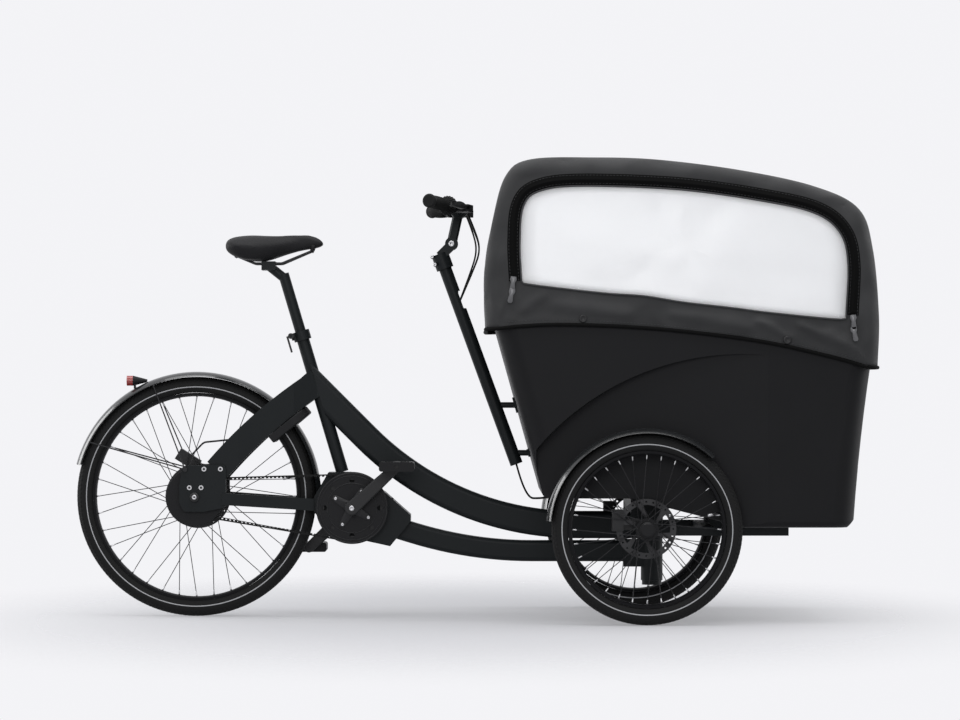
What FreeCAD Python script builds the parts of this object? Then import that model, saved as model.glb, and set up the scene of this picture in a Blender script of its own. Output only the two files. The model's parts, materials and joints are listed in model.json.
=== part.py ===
import FreeCAD, Part
import math
import os
import Sketcher
from FreeCAD import Placement, Rotation, Vector

# A box tricycle: two small wheels and a covered cargo box in front, one large driven wheel behind.
# X runs forward, Y to the rider's left, Z up; the ground is Z = 0. Lengths in millimetres.

SIZES = {
    # Fits between pieces
    "seat_gap": 0.3,
    "running_gap": 0.05,
    "cut_overrun": 5,
    # Wheel positions and radii
    "wheel_clear": 101,
    "rear_wheel_radius": 330,
    "front_axle_x": 467,
    "front_wheel_radius": 254,
    "wheel_outset": 25,
    # Tyres and rims
    "tyre_wall": 6,
    "tyre_bead_half": 14.6,
    "tyre_bead_inner": 4,
    "rim_half": 17,
    "rim_lip": 2,
    "rim_well": 5,
    "rim_depth": 10,
    "rim_shoulder": 7,
    "rim_crown_half": 9,
    "rear_tyre_height": 44,
    "front_tyre_height": 45,
    # Spokes
    "spoke_radius": 1.1,
    "rear_spoke_count": 36,
    "front_spoke_count": 32,
    "rear_spoke_twist_angle": 24,
    "front_spoke_twist_angle": 42,
    "spoke_rim_stagger": 2.5,
    # Rear hub
    "axle_radius": 6,
    "rear_flange_y": 29,
    "rear_flange_radius": 84,
    "rear_flange_wall": 3,
    "rear_hub_radius": 78,
    "rear_hub_step_radius": 58,
    "rear_hub_boss_radius": 26,
    "rear_hub_right_end": 43,
    "rear_hub_left_end": 55,
    "hub_taper": 5,
    "spoke_hole_inset": 5,
    "spoke_lift": 1.3,
    "rear_nut_radius": 11,
    "rear_nut_length": 9,
    "rear_axle_stub": 14,
    # Brake discs
    "rear_disc_radius": 90,
    "front_disc_radius": 80,
    "disc_wall": 1.8,
    "disc_track": 16,
    "disc_hub_ring": 10,
    "disc_arm_count": 6,
    "disc_window_angle": 23,
    "disc_lean_angle": 14,
    "disc_hole_count": 24,
    "disc_hole_radius": 2.6,
    # Front hubs and axles
    "front_flange_y": 27,
    "front_flange_radius": 30,
    "front_flange_wall": 3,
    "front_hub_radius": 18,
    "front_hub_inner_end": 42,
    "front_cap_start": 36,
    "front_cap_end": 48,
    "front_cap_radius": 21,
    "stub_radius": 8,
    "stub_reach": 34,
    "stub_boss_radius": 17,
    # Mudguards
    "rear_guard_gap": 14,
    "rear_guard_start_angle": -7,
    "rear_guard_end_angle": 165,
    "front_guard_radius": 269,
    "front_guard_start_angle": 47.5,
    "front_guard_end_angle": 175,
    "guard_width": 62,
    "guard_rise": 13,
    "guard_wall": 2,
    "guard_stay_radius": 1.8,
    "guard_stay_upper_angle": 111,
    "guard_stay_lower_angle": 153,
    "guard_tab_width": 26,
    "guard_tab_wall": 4,
    # Steering head
    "steer_x": 498,
    "head_radius": 30,
    "head_bottom": 99,
    "head_top": 290,
    "kingpin_radius": 20,
    "kingpin_nut_radius": 27,
    "kingpin_nut_height": 12,
    "lug_back": 79,
    "lug_half": 23,
    "lug_bottom": 137,
    "lug_top": 212,
    # Main beam
    "beam_depth": 75,
    "beam_half": 25,
    "beam_bend_radius": 820,
    "beam_flat_x": 290,
    "beam_flat_z": 252,
    "beam_slope_angle": 45,
    "beam_corner": 14,
    # Lower beam
    "lower_depth": 58,
    "lower_half": 22,
    "lower_bend_radius": 1120,
    "lower_flat_x": 168,
    "lower_flat_z": 180,
    "lower_slope_angle": 17,
    "lower_corner": 12,
    "lower_root": 70,
    # Crank axis and motor bracket
    "crank_x": -327,
    "crank_z": 300,
    "bracket_inner": 37,
    "bracket_wall": 6,
    "bracket_rear": 105,
    "bracket_stay_top": 30,
    "bracket_stay_bottom": 12,
    "bracket_crown_rear": 66,
    "bracket_crown_front": 6,
    "bracket_crown": 97,
    "bracket_shoulder_x": 90,
    "bracket_shoulder_z": 42,
    "bracket_nose_x": 160,
    "bracket_nose_top": 20,
    "bracket_nose_bottom": 38,
    "bracket_keel_front": 104,
    "bracket_keel_z": 106,
    "bracket_keel_rear": 40,
    "bracket_belly": 92,
    "bracket_web": 14,
    "motor_radius": 80,
    "motor_half": 36,
    "motor_boss_radius": 27,
    "motor_boss_half": 44.5,
    "motor_nose_x": 112,
    "motor_nose_half": 52,
    "motor_edge": 8,
    # Seat tube, post and saddle
    "seat_lean_angle": 16.6,
    "seat_tube_radius": 17.5,
    "post_radius": 15,
    "seat_tube_rise": 152.026,
    "clamp_radius": 24,
    "clamp_height": 26,
    "clamp_drop": 20,
    "post_insert": 230,
    "post_rise": 163,
    "saddle_clamp_x": -559,
    "saddle_clamp_rise": 22,
    "saddle_clamp_length": 38,
    "saddle_clamp_half": 31,
    "saddle_clamp_depth": 24,
    "post_neck_radius": 13,
    "rail_radius": 3.5,
    "rail_half": 23,
    "rail_bend": 22,
    "rail_flat": 74,
    "rail_tail_x": 92,
    "rail_tail_rise": 22.9,
    "rail_nose_x": 122,
    "rail_nose_rise": 36,
    "rail_nose_half": 12,
    "saddle_tail_back": 122,
    "saddle_length": 279,
    "saddle_half": 80,
    "saddle_base_rise": 31,
    "saddle_depth": 50,
    "saddle_skirt": 14,
    "lever_pivot_drop": 9,
    "lever_pin_radius": 4,
    "lever_pin_length": 34,
    "lever_offset": 29,
    "lever_length": 46,
    "lever_width": 12,
    "lever_wall": 5,
    "lever_eye_radius": 8,
    # Rear yoke, stays and dropouts
    "yoke_foot_x": 57.6,
    "yoke_foot_z": 70.8,
    "yoke_slope_angle": 42,
    "yoke_overhang": 11,
    "yoke_depth": 70,
    "yoke_bow": 11,
    "yoke_outer": 70,
    "yoke_inner": 58.5,
    "yoke_guard_clear": 19.3,
    "yoke_crotch_half": 36,
    "yoke_crotch_outer": 46,
    "yoke_flare_reach": 118,
    "yoke_neck_half": 25,
    "dropout_wall": 8,
    "dropout_top": 88,
    "dropout_front": 86,
    "dropout_front_low": 28,
    "dropout_shoulder_x": 26,
    "dropout_rear": 42,
    "dropout_rear_top": 30,
    "dropout_rear_low": 16,
    "dropout_foot": 40,
    "dropout_corner": 12,
    "caliper_lug_x": 34,
    "caliper_lug_top": 86,
    "stay_depth": 33,
    "stay_wall": 14,
    "stay_front_y": 41,
    "stay_front_rise": 8,
    "stay_rear_drop": 5,
    "bolt_radius": 6.5,
    "bolt_height": 4,
    "bolt_upper_z": 77,
    "bolt_upper_front_x": 71,
    "bolt_upper_rear_x": 26,
    "bolt_lower_z": 26,
    "bolt_lower_front_x": 18,
    "bolt_lower_rear_x": -14,
    # Belt drive
    "belt_y": -51,
    "belt_width": 11,
    "belt_wall": 3.5,
    "belt_tooth": 3,
    "belt_tooth_root": 6,
    "belt_pitch": 11,
    "belt_run_margin": 28,
    "front_tooth_count": 52,
    "rear_tooth_count": 28,
    "front_sprocket_radius": 90,
    "rear_sprocket_radius": 48,
    "sprocket_half": 5,
    "sprocket_tooth": 2.6,
    "sprocket_rim": 13,
    "sprocket_hub_radius": 30,
    "sprocket_arm_count": 4,
    "sprocket_window_angle": 31,
    "hub_cover_radius": 79,
    "hub_cover_wall": 6,
    "hub_cover_y": -61.5,
    "hub_cover_corner": 2,
    # Cranks and pedals
    "spindle_radius": 12,
    "crank_length": 170,
    "crank_angle": 42.7,
    "arm_inner": 76,
    "arm_wall": 14,
    "arm_boss_radius": 20,
    "arm_end_radius": 14,
    "arm_bolt_radius": 8,
    "arm_bolt_height": 2,
    "guard_disc_radius": 99,
    "guard_disc_wall": 4,
    "guard_disc_y": -64,
    "guard_post_radius": 6,
    "guard_post_circle": 52,
    "guard_slot_count": 8,
    "guard_slot_radius": 7,
    "guard_slot_circle": 76,
    "pedal_pin_radius": 5,
    "pedal_length": 96,
    "pedal_width": 92,
    "pedal_depth": 26,
    "pedal_offset": 6,
    "pedal_corner": 7,
    "pedal_boss_radius": 10,
    "pedal_rail": 15,
    # Rear light
    "light_foot_angle": 124,
    "light_back": 0.6,
    "light_length": 56,
    "lens_length": 17,
    "light_rise": 33.8,
    "light_radius": 14,
    "light_tip_radius": 4,
    "light_stalk_half": 9,
    "light_stalk_wall": 5,
    # Rear brake
    "caliper_x": -28,
    "caliper_z": 100,
    "caliper_length": 66,
    "caliper_height": 34,
    "caliper_half": 13,
    "caliper_tilt_angle": 32,
    "caliper_slot": 2,
    "rear_disc_y": 57,
    "hose_radius": 2.6,
    "hose_bend": 22,
    "hose_start_x": -17.6,
    "hose_start_z": 114.6,
    "hose_knee_x": 14,
    "hose_knee_z": 148,
    "hose_end_x": 84,
    "hose_end_z": 155,
    "hose_y": 64,
    # Frame lock
    "lock_back": 1,
    "lock_drop": 58.8,
    "lock_slope_angle": 39,
    "lock_length": 132,
    "lock_inner": 35,
    "lock_outer": 58,
    "lock_depth": 24,
    # Cargo box
    "box_wall": 6,
    "box_half": 360,
    "box_rear_top_x": 63.4,
    "box_rear_top_z": 801,
    "box_rear_low_x": 194,
    "box_floor_z": 334,
    "box_ramp_x": 430,
    "box_well_x": 730,
    "box_well_z": 257,
    "box_nose_x": 1003,
    "box_front_low_x": 1024,
    "box_front_low_z": 279,
    "box_front_mid_x": 1043,
    "box_front_mid_z": 490,
    "box_front_top_x": 1071,
    "box_front_top_z": 704,
    "box_rim_mid_x": 567,
    "box_rim_mid_z": 795,
    "box_corner": 60,
    "box_edge": 18,
    "arch_depth": 48,
    "arch_start_x": 174,
    "arch_end_x": 790,
    "arch_start_z": 464,
    "arch_mid_x": 426,
    "arch_mid_z": 656,
    "arch_top_z": 716,
    "arch_foot_z": 150,
    # Front carrier under the box
    "carrier_inset": 103,
    "carrier_wall": 12,
    "carrier_rear_x": 430,
    "carrier_front_x": 530,
    "carrier_bottom": 294,
    "cheek_front_x": 506,
    "cheek_bottom": 228,
    "rail_front_x": 854,
    "rail_bottom": 232,
    "rail_width": 20,
    "rail_depth": 24,
    "rail_tie_x": 640,
    "rail_tie_length": 30,
    # Bench and battery
    "bench_wall": 15,
    "bench_inset": 64,
    "bench_top_z": 560,
    "bench_rear_x": 150,
    "bench_front_x": 470,
    "battery_length": 96,
    "battery_half": 190,
    "battery_depth": 118,
    "battery_x": 330,
    "battery_corner": 12,
    # Canopy
    "canopy_wall": 4,
    "canopy_rear_low_x": 40,
    "canopy_rear_low_z": 786,
    "canopy_rear_mid_x": 36,
    "canopy_rear_mid_z": 936,
    "canopy_rear_top_x": 101,
    "canopy_rear_top_z": 1205,
    "canopy_crown_x": 170,
    "canopy_crown_z": 1243,
    "canopy_roof_mid_x": 500,
    "canopy_roof_mid_z": 1240,
    "canopy_roof_front_x": 917,
    "canopy_roof_front_z": 1170,
    "canopy_brow_mid_x": 1032,
    "canopy_brow_mid_z": 1110,
    "canopy_brow_x": 1072,
    "canopy_brow_z": 1000,
    "canopy_front_x": 1089,
    "canopy_front_z": 820,
    "canopy_front_low_x": 1085,
    "canopy_front_low_z": 684,
    "canopy_hem_mid_x": 567,
    "canopy_hem_mid_z": 776,
    "canopy_overhang": 4.3,
    "canopy_shoulder_inset": 16,
    "canopy_shoulder_z": 1150,
    "canopy_roof_inset": 110,
    "canopy_roof_rise": 30,
    "window_rear_x": 136,
    "window_rear_low_z": 915,
    "window_rear_top_z": 1125,
    "window_top_rear_x": 180,
    "window_top_rear_z": 1160,
    "window_top_mid_x": 560,
    "window_top_mid_z": 1158,
    "window_top_front_x": 924,
    "window_top_front_z": 1097,
    "window_front_x": 1005,
    "window_front_top_z": 1010,
    "window_front_low_z": 826,
    "front_window_inset": 128,
    "front_window_low": 760,
    "front_window_top": 1060,
    "canopy_side_inset": 70,
    "canopy_split_rear_x": 150,
    "canopy_split_front_x": 985,
    "bow_radius": 8,
    "bow_bend": 55,
    "rear_bow_foot_x": 160,
    "rear_bow_top_x": 158,
    "rear_bow_top_z": 1178,
    "front_bow_foot_x": 996,
    "front_bow_top_x": 962,
    "front_bow_top_z": 1112,
    "bow_foot_drop": 95,
    "bow_foot_inset": 14.3,
    "bow_top_inset": 62,
    # Handlebar post and stem
    "bar_post_radius": 17.5,
    "bar_post_wall": 2.5,
    "bar_post_top_x": -84,
    "bar_post_top_z": 991,
    "bar_post_low_x": 125,
    "bar_post_low_z": 419,
    "bracket_upper_z": 582,
    "bracket_upper_height": 44,
    "bracket_lower_z": 450,
    "bracket_lower_height": 22,
    "bracket_half": 20,
    "bracket_pad": 6,
    "bracket_arm_radius": 8,
    "stem_collar_radius": 24,
    "stem_collar_height": 44,
    "stem_link_angle": 45,
    "stem_pivot_x": -54.5,
    "stem_pivot_z": 1027,
    "stem_boss_radius": 18,
    "stem_pin_radius": 5,
    "stem_tongue_half": 11,
    "stem_cheek": 7,
    "stem_bolt_radius": 4.5,
    "bar_x": -34,
    "bar_z": 1120,
    "bar_clamp_radius": 24,
    "bar_centre_radius": 15.9,
    "bar_centre_half": 45,
    "stem_web_half": 14,
    # Handlebar
    "bar_radius": 11.1,
    "bar_bend": 70,
    "bar_straight": 80,
    "bar_half": 305,
    "bar_sweep": 78,
    "bar_rise": 11,
    "grip_radius": 16,
    "grip_flare": 19,
    "grip_length": 118,
    "grip_cap": 4,
    "grip_swell": 1.2,
    "grip_neck": 12,
    "twist_radius": 20,
    "twist_flare": 26,
    "twist_length": 34,
    "twist_shoulder": 25.5,
    "perch_radius": 17,
    "perch_length": 22,
    "perch_reach": 44,
    "lever_pivot_reach": 33,
    "perch_depth": 20,
    "perch_width": 40,
    "perch_drop": 12,
    "lever_reach": 118,
    "lever_dip_reach": 78.7,
    "lever_blade": 11,
    "lever_hook": 4,
    "lever_boss_radius": 8,
    "lever_fork": 9.2,
    # Cables
    "cable_radius": 2.4,
    "cable_bend": 42,
    "cable_hole_z": 859,
    "cable_spread": 9,
    "cable_entry_width": 27.6,
    "cable_entry_height": 48,
    "cable_entry_rise": 14.4,
    "cable_seat_gap": 2,
    "cable_top_angle": 39,
    "cable_loop_x": 16,
    "cable_loop_z": 1010,
    "loop_radius": 2.6,
    "loop_drop": 10.4,
    "loop_low_x": 148,
    "loop_low_z": 326,
    "loop_end_x": 236,
    "loop_half": 8,
    "loop_bend": 45,
    # Front brakes
    "front_disc_in": 39,
    "front_caliper_x": 76,
    "front_caliper_z": 23,
    "front_caliper_length": 58,
    "front_caliper_height": 30,
    "front_caliper_half": 12,
    "front_caliper_arm": 14,
}

doc = FreeCAD.newDocument("cargo_tricycle")
sheet = doc.addObject("Spreadsheet::Sheet", "dims")
for row, (name, number) in enumerate(SIZES.items(), 1):
    sheet.set(f"A{row}", name)
    sheet.set(f"B{row}", str(number))
    sheet.setAlias(f"B{row}", name)
doc.recompute()


class Size:
    """A value from the sheet together with the formula that binds it there."""

    def __init__(self, value, text):
        self.value = float(value)
        self.text = text

    def __float__(self):
        return self.value

    def __neg__(self):
        return Size(-self.value, f"(-{self.text})")

    def __add__(self, other):
        return Size(self.value + float(other), f"({self.text} + {formula(other)})")

    def __radd__(self, other):
        return Size(float(other) + self.value, f"({formula(other)} + {self.text})")

    def __sub__(self, other):
        return Size(self.value - float(other), f"({self.text} - {formula(other)})")

    def __rsub__(self, other):
        return Size(float(other) - self.value, f"({formula(other)} - {self.text})")

    def __mul__(self, other):
        return Size(self.value * float(other), f"({self.text} * {formula(other)})")

    def __rmul__(self, other):
        return Size(float(other) * self.value, f"({formula(other)} * {self.text})")

    def __truediv__(self, other):
        return Size(self.value / float(other), f"({self.text} / {formula(other)})")


def formula(item):
    """The text of a size, or of a plain number, in the sheet's language."""
    return item.text if isinstance(item, Size) else repr(float(item))


def sine(angle):
    """The sine of an angle in degrees."""
    return Size(math.sin(math.radians(float(angle))), f"sin({formula(angle)} * 1deg)")


def cosine(angle):
    """The cosine of an angle in degrees."""
    return Size(math.cos(math.radians(float(angle))), f"cos({formula(angle)} * 1deg)")


def root(item):
    """The square root of a size."""
    return Size(math.sqrt(float(item)), f"sqrt({formula(item)})")


class Sheet:
    """The driving sizes as attributes."""

    def __getattr__(self, name):
        return Size(SIZES[name], f"dims.{name}")


d = Sheet()
PARTS = []


def bind(item, path, size):
    """Ties a property to the sheet."""
    if isinstance(size, Size):
        item.setExpression(path, size.text)
    else:
        setattr(item, path, size)


def place(item, x=0, y=0, z=0, turn=None):
    """Sets an object at a place that the sheet gives."""
    item.Placement = Placement(Vector(float(x), float(y), float(z)), turn or Rotation())
    for axis, size in zip("xyz", (x, y, z)):
        if isinstance(size, Size):
            item.setExpression(f"Placement.Base.{axis}", size.text)
    return item


def about(axis, angle):
    """A turn by an angle in degrees about one of the three axes."""
    directions = {"x": Vector(1, 0, 0), "y": Vector(0, 1, 0), "z": Vector(0, 0, 1)}
    return Rotation(directions[axis], float(angle))


def keep(item, label):
    """Marks an object as a finished piece."""
    item.Label = label
    PARTS.append(item)
    return item


FULL_TURN = 360
HALF_TURN = 180
QUARTER_TURN = 90
SAME_PLACE = 1e-6
SKETCH_CENTRE = 3


def body(name):
    """An empty solid to draw in."""
    return doc.addObject("PartDesign::Body", name)


def origin(owner, role):
    """One of a solid's own planes or axes."""
    return next(item for item in owner.Origin.OriginFeatures if item.Role == role)


def sketch(owner, plane):
    """An empty sketch on one of a solid's own planes."""
    item = owner.newObject("Sketcher::SketchObject", "Sketch")
    item.AttachmentSupport = [(origin(owner, plane), "")]
    item.MapMode = "FlatFace"
    return item


def pin_point(item, geometry, end, u, v):
    """Holds one point of a sketch at a place given by the sheet."""
    for kind, axis, size in (("DistanceX", -2, u), ("DistanceY", -1, v)):
        if not isinstance(size, Size) and size == 0:
            item.addConstraint(Sketcher.Constraint("PointOnObject", geometry, end, axis))
            continue
        rule = item.addConstraint(Sketcher.Constraint(kind, -1, 1, geometry, end, float(size)))
        item.setExpression(f"Constraints[{rule}]", formula(size))


def arc_between(start, middle, finish, forward):
    """The arc through three points, drawn counter-clockwise."""
    centre = Part.Circle(start, middle, finish).Center
    angles = [math.atan2(spot.y - centre.y, spot.x - centre.x) for spot in (start, finish)]
    first, last = angles if forward else reversed(angles)
    if last < first:
        last += 2 * math.pi
    return Part.ArcOfCircle(Part.Circle(centre, Vector(0, 0, 1), (start - centre).Length), first, last)


def outline(item, path):
    """Draws a closed outline. A ("via", u, v) entry bends the edge before the next corner."""
    corners = []
    vias = {}
    for entry in path:
        if entry[0] == "via":
            vias[len(corners) - 1] = entry[1:]
        else:
            corners.append(entry)
    spots = [Vector(float(u), float(v), 0) for u, v in corners]
    edges = []
    for index, start in enumerate(spots):
        finish = spots[(index + 1) % len(spots)]
        if index in vias:
            middle = Vector(float(vias[index][0]), float(vias[index][1]), 0)
            forward = (middle - start).cross(finish - middle).z > 0
            ends = (1, 2) if forward else (2, 1)
            edge = item.addGeometry(arc_between(start, middle, finish, forward))
            mark = item.addGeometry(Part.Point(middle), True)
            pin_point(item, mark, 1, *vias[index])
            item.addConstraint(Sketcher.Constraint("PointOnObject", mark, 1, edge))
        else:
            edge = item.addGeometry(Part.LineSegment(start, finish))
            ends = (1, 2)
        edges.append((edge, ends))
    for index, (edge, ends) in enumerate(edges):
        after, after_ends = edges[(index + 1) % len(edges)]
        item.addConstraint(Sketcher.Constraint("Coincident", edge, ends[1], after, after_ends[0]))
        pin_point(item, edge, ends[0], *corners[index])
    return item


def ring(item, radius, u=0, v=0):
    """Draws a circle."""
    edge = item.addGeometry(Part.Circle(Vector(float(u), float(v), 0), Vector(0, 0, 1), float(radius)))
    pin_point(item, edge, SKETCH_CENTRE, u, v)
    rule = item.addConstraint(Sketcher.Constraint("Radius", edge, float(radius)))
    item.setExpression(f"Constraints[{rule}]", formula(radius))
    return item


def pad(owner, profile, length):
    """Thickens a sketch evenly to both sides of its plane."""
    item = owner.newObject("PartDesign::Pad", "Pad")
    item.Profile = profile
    item.SideType = "Symmetric"
    bind(item, "Length", length)
    return item


def pocket(owner, profile):
    """Cuts a sketch right through on both sides of its plane."""
    item = owner.newObject("PartDesign::Pocket", "Pocket")
    item.Profile = profile
    item.Type = "ThroughAll"
    item.SideType = "Symmetric"
    return item


def revolve(owner, profile, angle=FULL_TURN):
    """Turns a sketch of the YZ plane about the Y axis, evenly to both sides."""
    item = owner.newObject("PartDesign::Revolution", "Revolution")
    item.Profile = profile
    item.ReferenceAxis = (profile, ["H_Axis"])
    item.Midplane = True
    bind(item, "Angle", angle)
    return item


def polar(owner, feature, count):
    """Repeats a feature round the Y axis."""
    item = owner.newObject("PartDesign::PolarPattern", "Polar")
    item.Originals = [feature]
    item.Axis = (origin(owner, "Y_Axis"), [""])
    item.Angle = FULL_TURN
    bind(item, "Occurrences", count)
    owner.Tip = item
    return item


def soften(owner, feature, radius, chosen):
    """Rounds the edges of a feature that the test picks."""
    doc.recompute()
    names = [f"Edge{index}" for index, edge in enumerate(feature.Shape.Edges, 1) if chosen(edge)]
    item = owner.newObject("PartDesign::Fillet", "Fillet")
    item.Base = (feature, names)
    bind(item, "Radius", radius)
    owner.Tip = item
    return item


def along_y(edge):
    """Whether an edge is straight and runs across the vehicle."""
    spots = [vertex.Point for vertex in edge.Vertexes]
    return len(spots) == 2 and abs(spots[0].x - spots[1].x) + abs(spots[0].z - spots[1].z) < SAME_PLACE


def across_y(edge):
    """Whether an edge lies in one side plane."""
    spots = [vertex.Point for vertex in edge.Vertexes]
    return not spots or max(abs(spot.y - spots[0].y) for spot in spots) < SAME_PLACE


def slab(name, path, width, holes=()):
    """A plate drawn in the side view and thickened along Y."""
    owner = body(name)
    pad(owner, outline(sketch(owner, "XZ_Plane"), path), width)
    for hole in holes:
        pocket(owner, ring(sketch(owner, "XZ_Plane"), *hole))
    return owner


def turned(name, path, angle=FULL_TURN):
    """A piece turned about the Y axis, drawn as (y, radius) corners."""
    owner = body(name)
    revolve(owner, outline(sketch(owner, "YZ_Plane"), path), angle)
    return owner


def cylinder(radius, length, x, y, z, turn=None):
    """A round bar up from a place, along Z before any turn."""
    item = doc.addObject("Part::Cylinder", "Cylinder")
    bind(item, "Radius", radius)
    bind(item, "Height", length)
    return place(item, x, y, z, turn)


def rod(radius, start, finish):
    """A round bar between two points."""
    begin = Vector(*(float(size) for size in start))
    run = Vector(*(float(size) for size in finish)) - begin
    item = cylinder(radius, run.Length, *start, Rotation(Vector(0, 0, 1), run))
    squares = [(b - a) * (b - a) for a, b in zip(start, finish) if isinstance(b - a, Size)]
    if squares:
        total = squares[0]
        for square in squares[1:]:
            total = total + square
        bind(item, "Height", root(total))
    return item


def cross_rod(radius, x, z, low, high):
    """A round bar along Y from low to high."""
    return cylinder(radius, high - low, x, low, z, Rotation(Vector(0, 0, 1), Vector(0, 1, 0)))


def block(length, width, height, x, y, z, turn=None):
    """A box given by its sizes and its middle point."""
    item = doc.addObject("Part::Box", "Block")
    bind(item, "Length", length)
    bind(item, "Width", width)
    bind(item, "Height", height)
    turn = turn or Rotation()
    shift = turn.multVec(Vector(float(length) / 2, float(width) / 2, float(height) / 2))
    item.Placement = Placement(Vector(float(x), float(y), float(z)) - shift, turn)
    return item


def cut(base, *tools):
    """The base less all the tools."""
    for tool in tools:
        item = doc.addObject("Part::Cut", "Cut")
        item.Base = base
        item.Tool = tool
        base = item
    return base


def fuse(*items):
    """All the items as one solid."""
    item = doc.addObject("Part::MultiFuse", "Fusion")
    item.Shapes = list(items)
    item.Refine = True
    return item


def common(*items):
    """What all the items share."""
    item = doc.addObject("Part::MultiCommon", "Common")
    item.Shapes = list(items)
    return item


def group(*items):
    """Several solids that make one piece."""
    item = doc.addObject("Part::Compound", "Group")
    item.Links = list(items)
    return item


def bent_wire(points, bend):
    """Straight runs joined by tangent arcs of one radius."""
    spots = [Vector(*(float(size) for size in point)) for point in points]
    edges = []
    start = spots[0]
    for before, corner, after in zip(spots, spots[1:], spots[2:]):
        inward = (before - corner).normalize()
        outward = (after - corner).normalize()
        half = inward.getAngle(outward) / 2
        reach = float(bend) / math.tan(half)
        first = corner + inward * reach
        last = corner + outward * reach
        middle = (inward + outward).normalize()
        centre = corner + middle * (float(bend) / math.sin(half))
        edges.append(Part.LineSegment(start, first).toShape())
        edges.append(Part.Arc(first, centre - middle * float(bend), last).toShape())
        start = last
    edges.append(Part.LineSegment(start, spots[-1]).toShape())
    return Part.Wire(edges), (spots[1] - spots[0])


def pipe(points, radius, bend):
    """A round bar along a bent path."""
    wire, heading = bent_wire(points, bend)
    spine = doc.addObject("Part::Feature", "Path")
    spine.Shape = wire
    section = doc.addObject("Part::Circle", "Section")
    bind(section, "Radius", radius)
    start = Vector(*(float(size) for size in points[0]))
    section.Placement = Placement(start, Rotation(Vector(0, 0, 1), heading))
    item = doc.addObject("Part::Sweep", "Pipe")
    item.Sections = [section]
    item.Spine = (spine, [f"Edge{index}" for index in range(1, len(wire.Edges) + 1)])
    item.Solid = True
    return item


def mirrored(item):
    """The same piece on the other side of the middle plane."""
    twin = doc.addObject("Part::Mirroring", "Twin")
    twin.Source = item
    twin.Normal = Vector(0, 1, 0)
    return twin


# Wheels


def tyre(name, radius, height):
    """A hollow casing: outer tread arc, beads inside the rim, inner air space."""
    flange = radius - height
    bead = flange - d.rim_well + d.seat_gap
    lip = flange + d.seat_gap
    return turned(name, [
        (-d.tyre_bead_inner, bead),
        (-d.tyre_bead_half, bead),
        (-d.tyre_bead_half, lip),
        (-d.rim_half, lip),
        ("via", 0, radius),
        (d.rim_half, lip),
        (d.tyre_bead_half, lip),
        (d.tyre_bead_half, bead),
        (d.tyre_bead_inner, bead),
        ("via", 0, radius - d.tyre_wall),
    ])


def rim(name, radius, height):
    """A rim with a well for the tyre's beads."""
    flange = radius - height
    well = flange - d.rim_well
    inner = flange - d.rim_depth
    return turned(name, [
        (-d.rim_half, flange),
        (d.rim_lip - d.rim_half, flange),
        (d.rim_lip - d.rim_half, well),
        (d.rim_half - d.rim_lip, well),
        (d.rim_half - d.rim_lip, flange),
        (d.rim_half, flange),
        (d.rim_half, flange - d.rim_shoulder),
        (d.rim_crown_half, inner),
        (-d.rim_crown_half, inner),
        (-d.rim_half, flange - d.rim_shoulder),
    ])


def spokes(count, hub_radius, flange_y, flange_wall, rim_radius, twist, x, y, z):
    """Straight wires from both faces of each hub flange to the rim, crossing each other."""
    wires = []
    step = FULL_TURN / float(count)
    reach = rim_radius - d.seat_gap
    for index in range(round(float(count))):
        side = 1 if index % 2 else -1
        turn = 1 if index % 4 < 2 else -1
        at_rim = index * step
        at_hub = at_rim + turn * float(twist)
        lift = flange_wall / 2 + d.spoke_radius + (d.spoke_lift if turn > 0 else d.seat_gap)
        hub_y = side * (flange_y + turn * lift)
        rim_y = side * d.spoke_rim_stagger
        start = (x + hub_radius * cosine(at_hub), y + hub_y, z + hub_radius * sine(at_hub))
        finish = (x + reach * cosine(at_rim), y + rim_y, z + reach * sine(at_rim))
        wires.append(rod(d.spoke_radius, start, finish))
    return group(*wires)


def disc(name, radius, bore):
    """A brake disc with slanting arms and a drilled track."""
    owner = body(name)
    profile = ring(sketch(owner, "XZ_Plane"), radius)
    ring(profile, bore)
    pad(owner, profile, d.disc_wall)
    outer = radius - d.disc_track
    inner = bore + d.disc_hub_ring
    low, high = -d.disc_window_angle, d.disc_window_angle
    lean = d.disc_lean_angle
    window = pocket(owner, outline(sketch(owner, "XZ_Plane"), [
        (inner * cosine(low), inner * sine(low)),
        (outer * cosine(low + lean), outer * sine(low + lean)),
        ("via", outer * cosine(lean), outer * sine(lean)),
        (outer * cosine(high + lean), outer * sine(high + lean)),
        (inner * cosine(high), inner * sine(high)),
        ("via", inner, 0),
    ]))
    polar(owner, window, d.disc_arm_count)
    hole = pocket(owner, ring(sketch(owner, "XZ_Plane"), d.disc_hole_radius, radius - d.disc_track / 2, 0))
    polar(owner, hole, d.disc_hole_count)
    return owner


# Widths that follow the box, and places that follow the wheels

wheel_plane_y = d.box_half + d.wheel_outset
bench_half = d.box_half - d.bench_inset
carrier_half = d.box_half - d.carrier_inset
canopy_hem_half = d.box_half + d.canopy_overhang
canopy_shoulder_half = d.box_half - d.canopy_shoulder_inset
canopy_roof_half = d.box_half - d.canopy_roof_inset
front_window_half = d.box_half - d.front_window_inset
canopy_side_half = d.box_half - d.canopy_side_inset
bow_foot_half = d.box_half - d.bow_foot_inset
bow_top_half = d.box_half - d.bow_top_inset
rear_axle_x = d.crank_x - d.wheel_clear - d.rear_wheel_radius
rear_guard_radius = d.rear_wheel_radius + d.rear_guard_gap
rear_z = d.rear_wheel_radius
front_z = d.front_wheel_radius
rear_flange = d.rear_wheel_radius - d.rear_tyre_height
front_flange = d.front_wheel_radius - d.front_tyre_height

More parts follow.
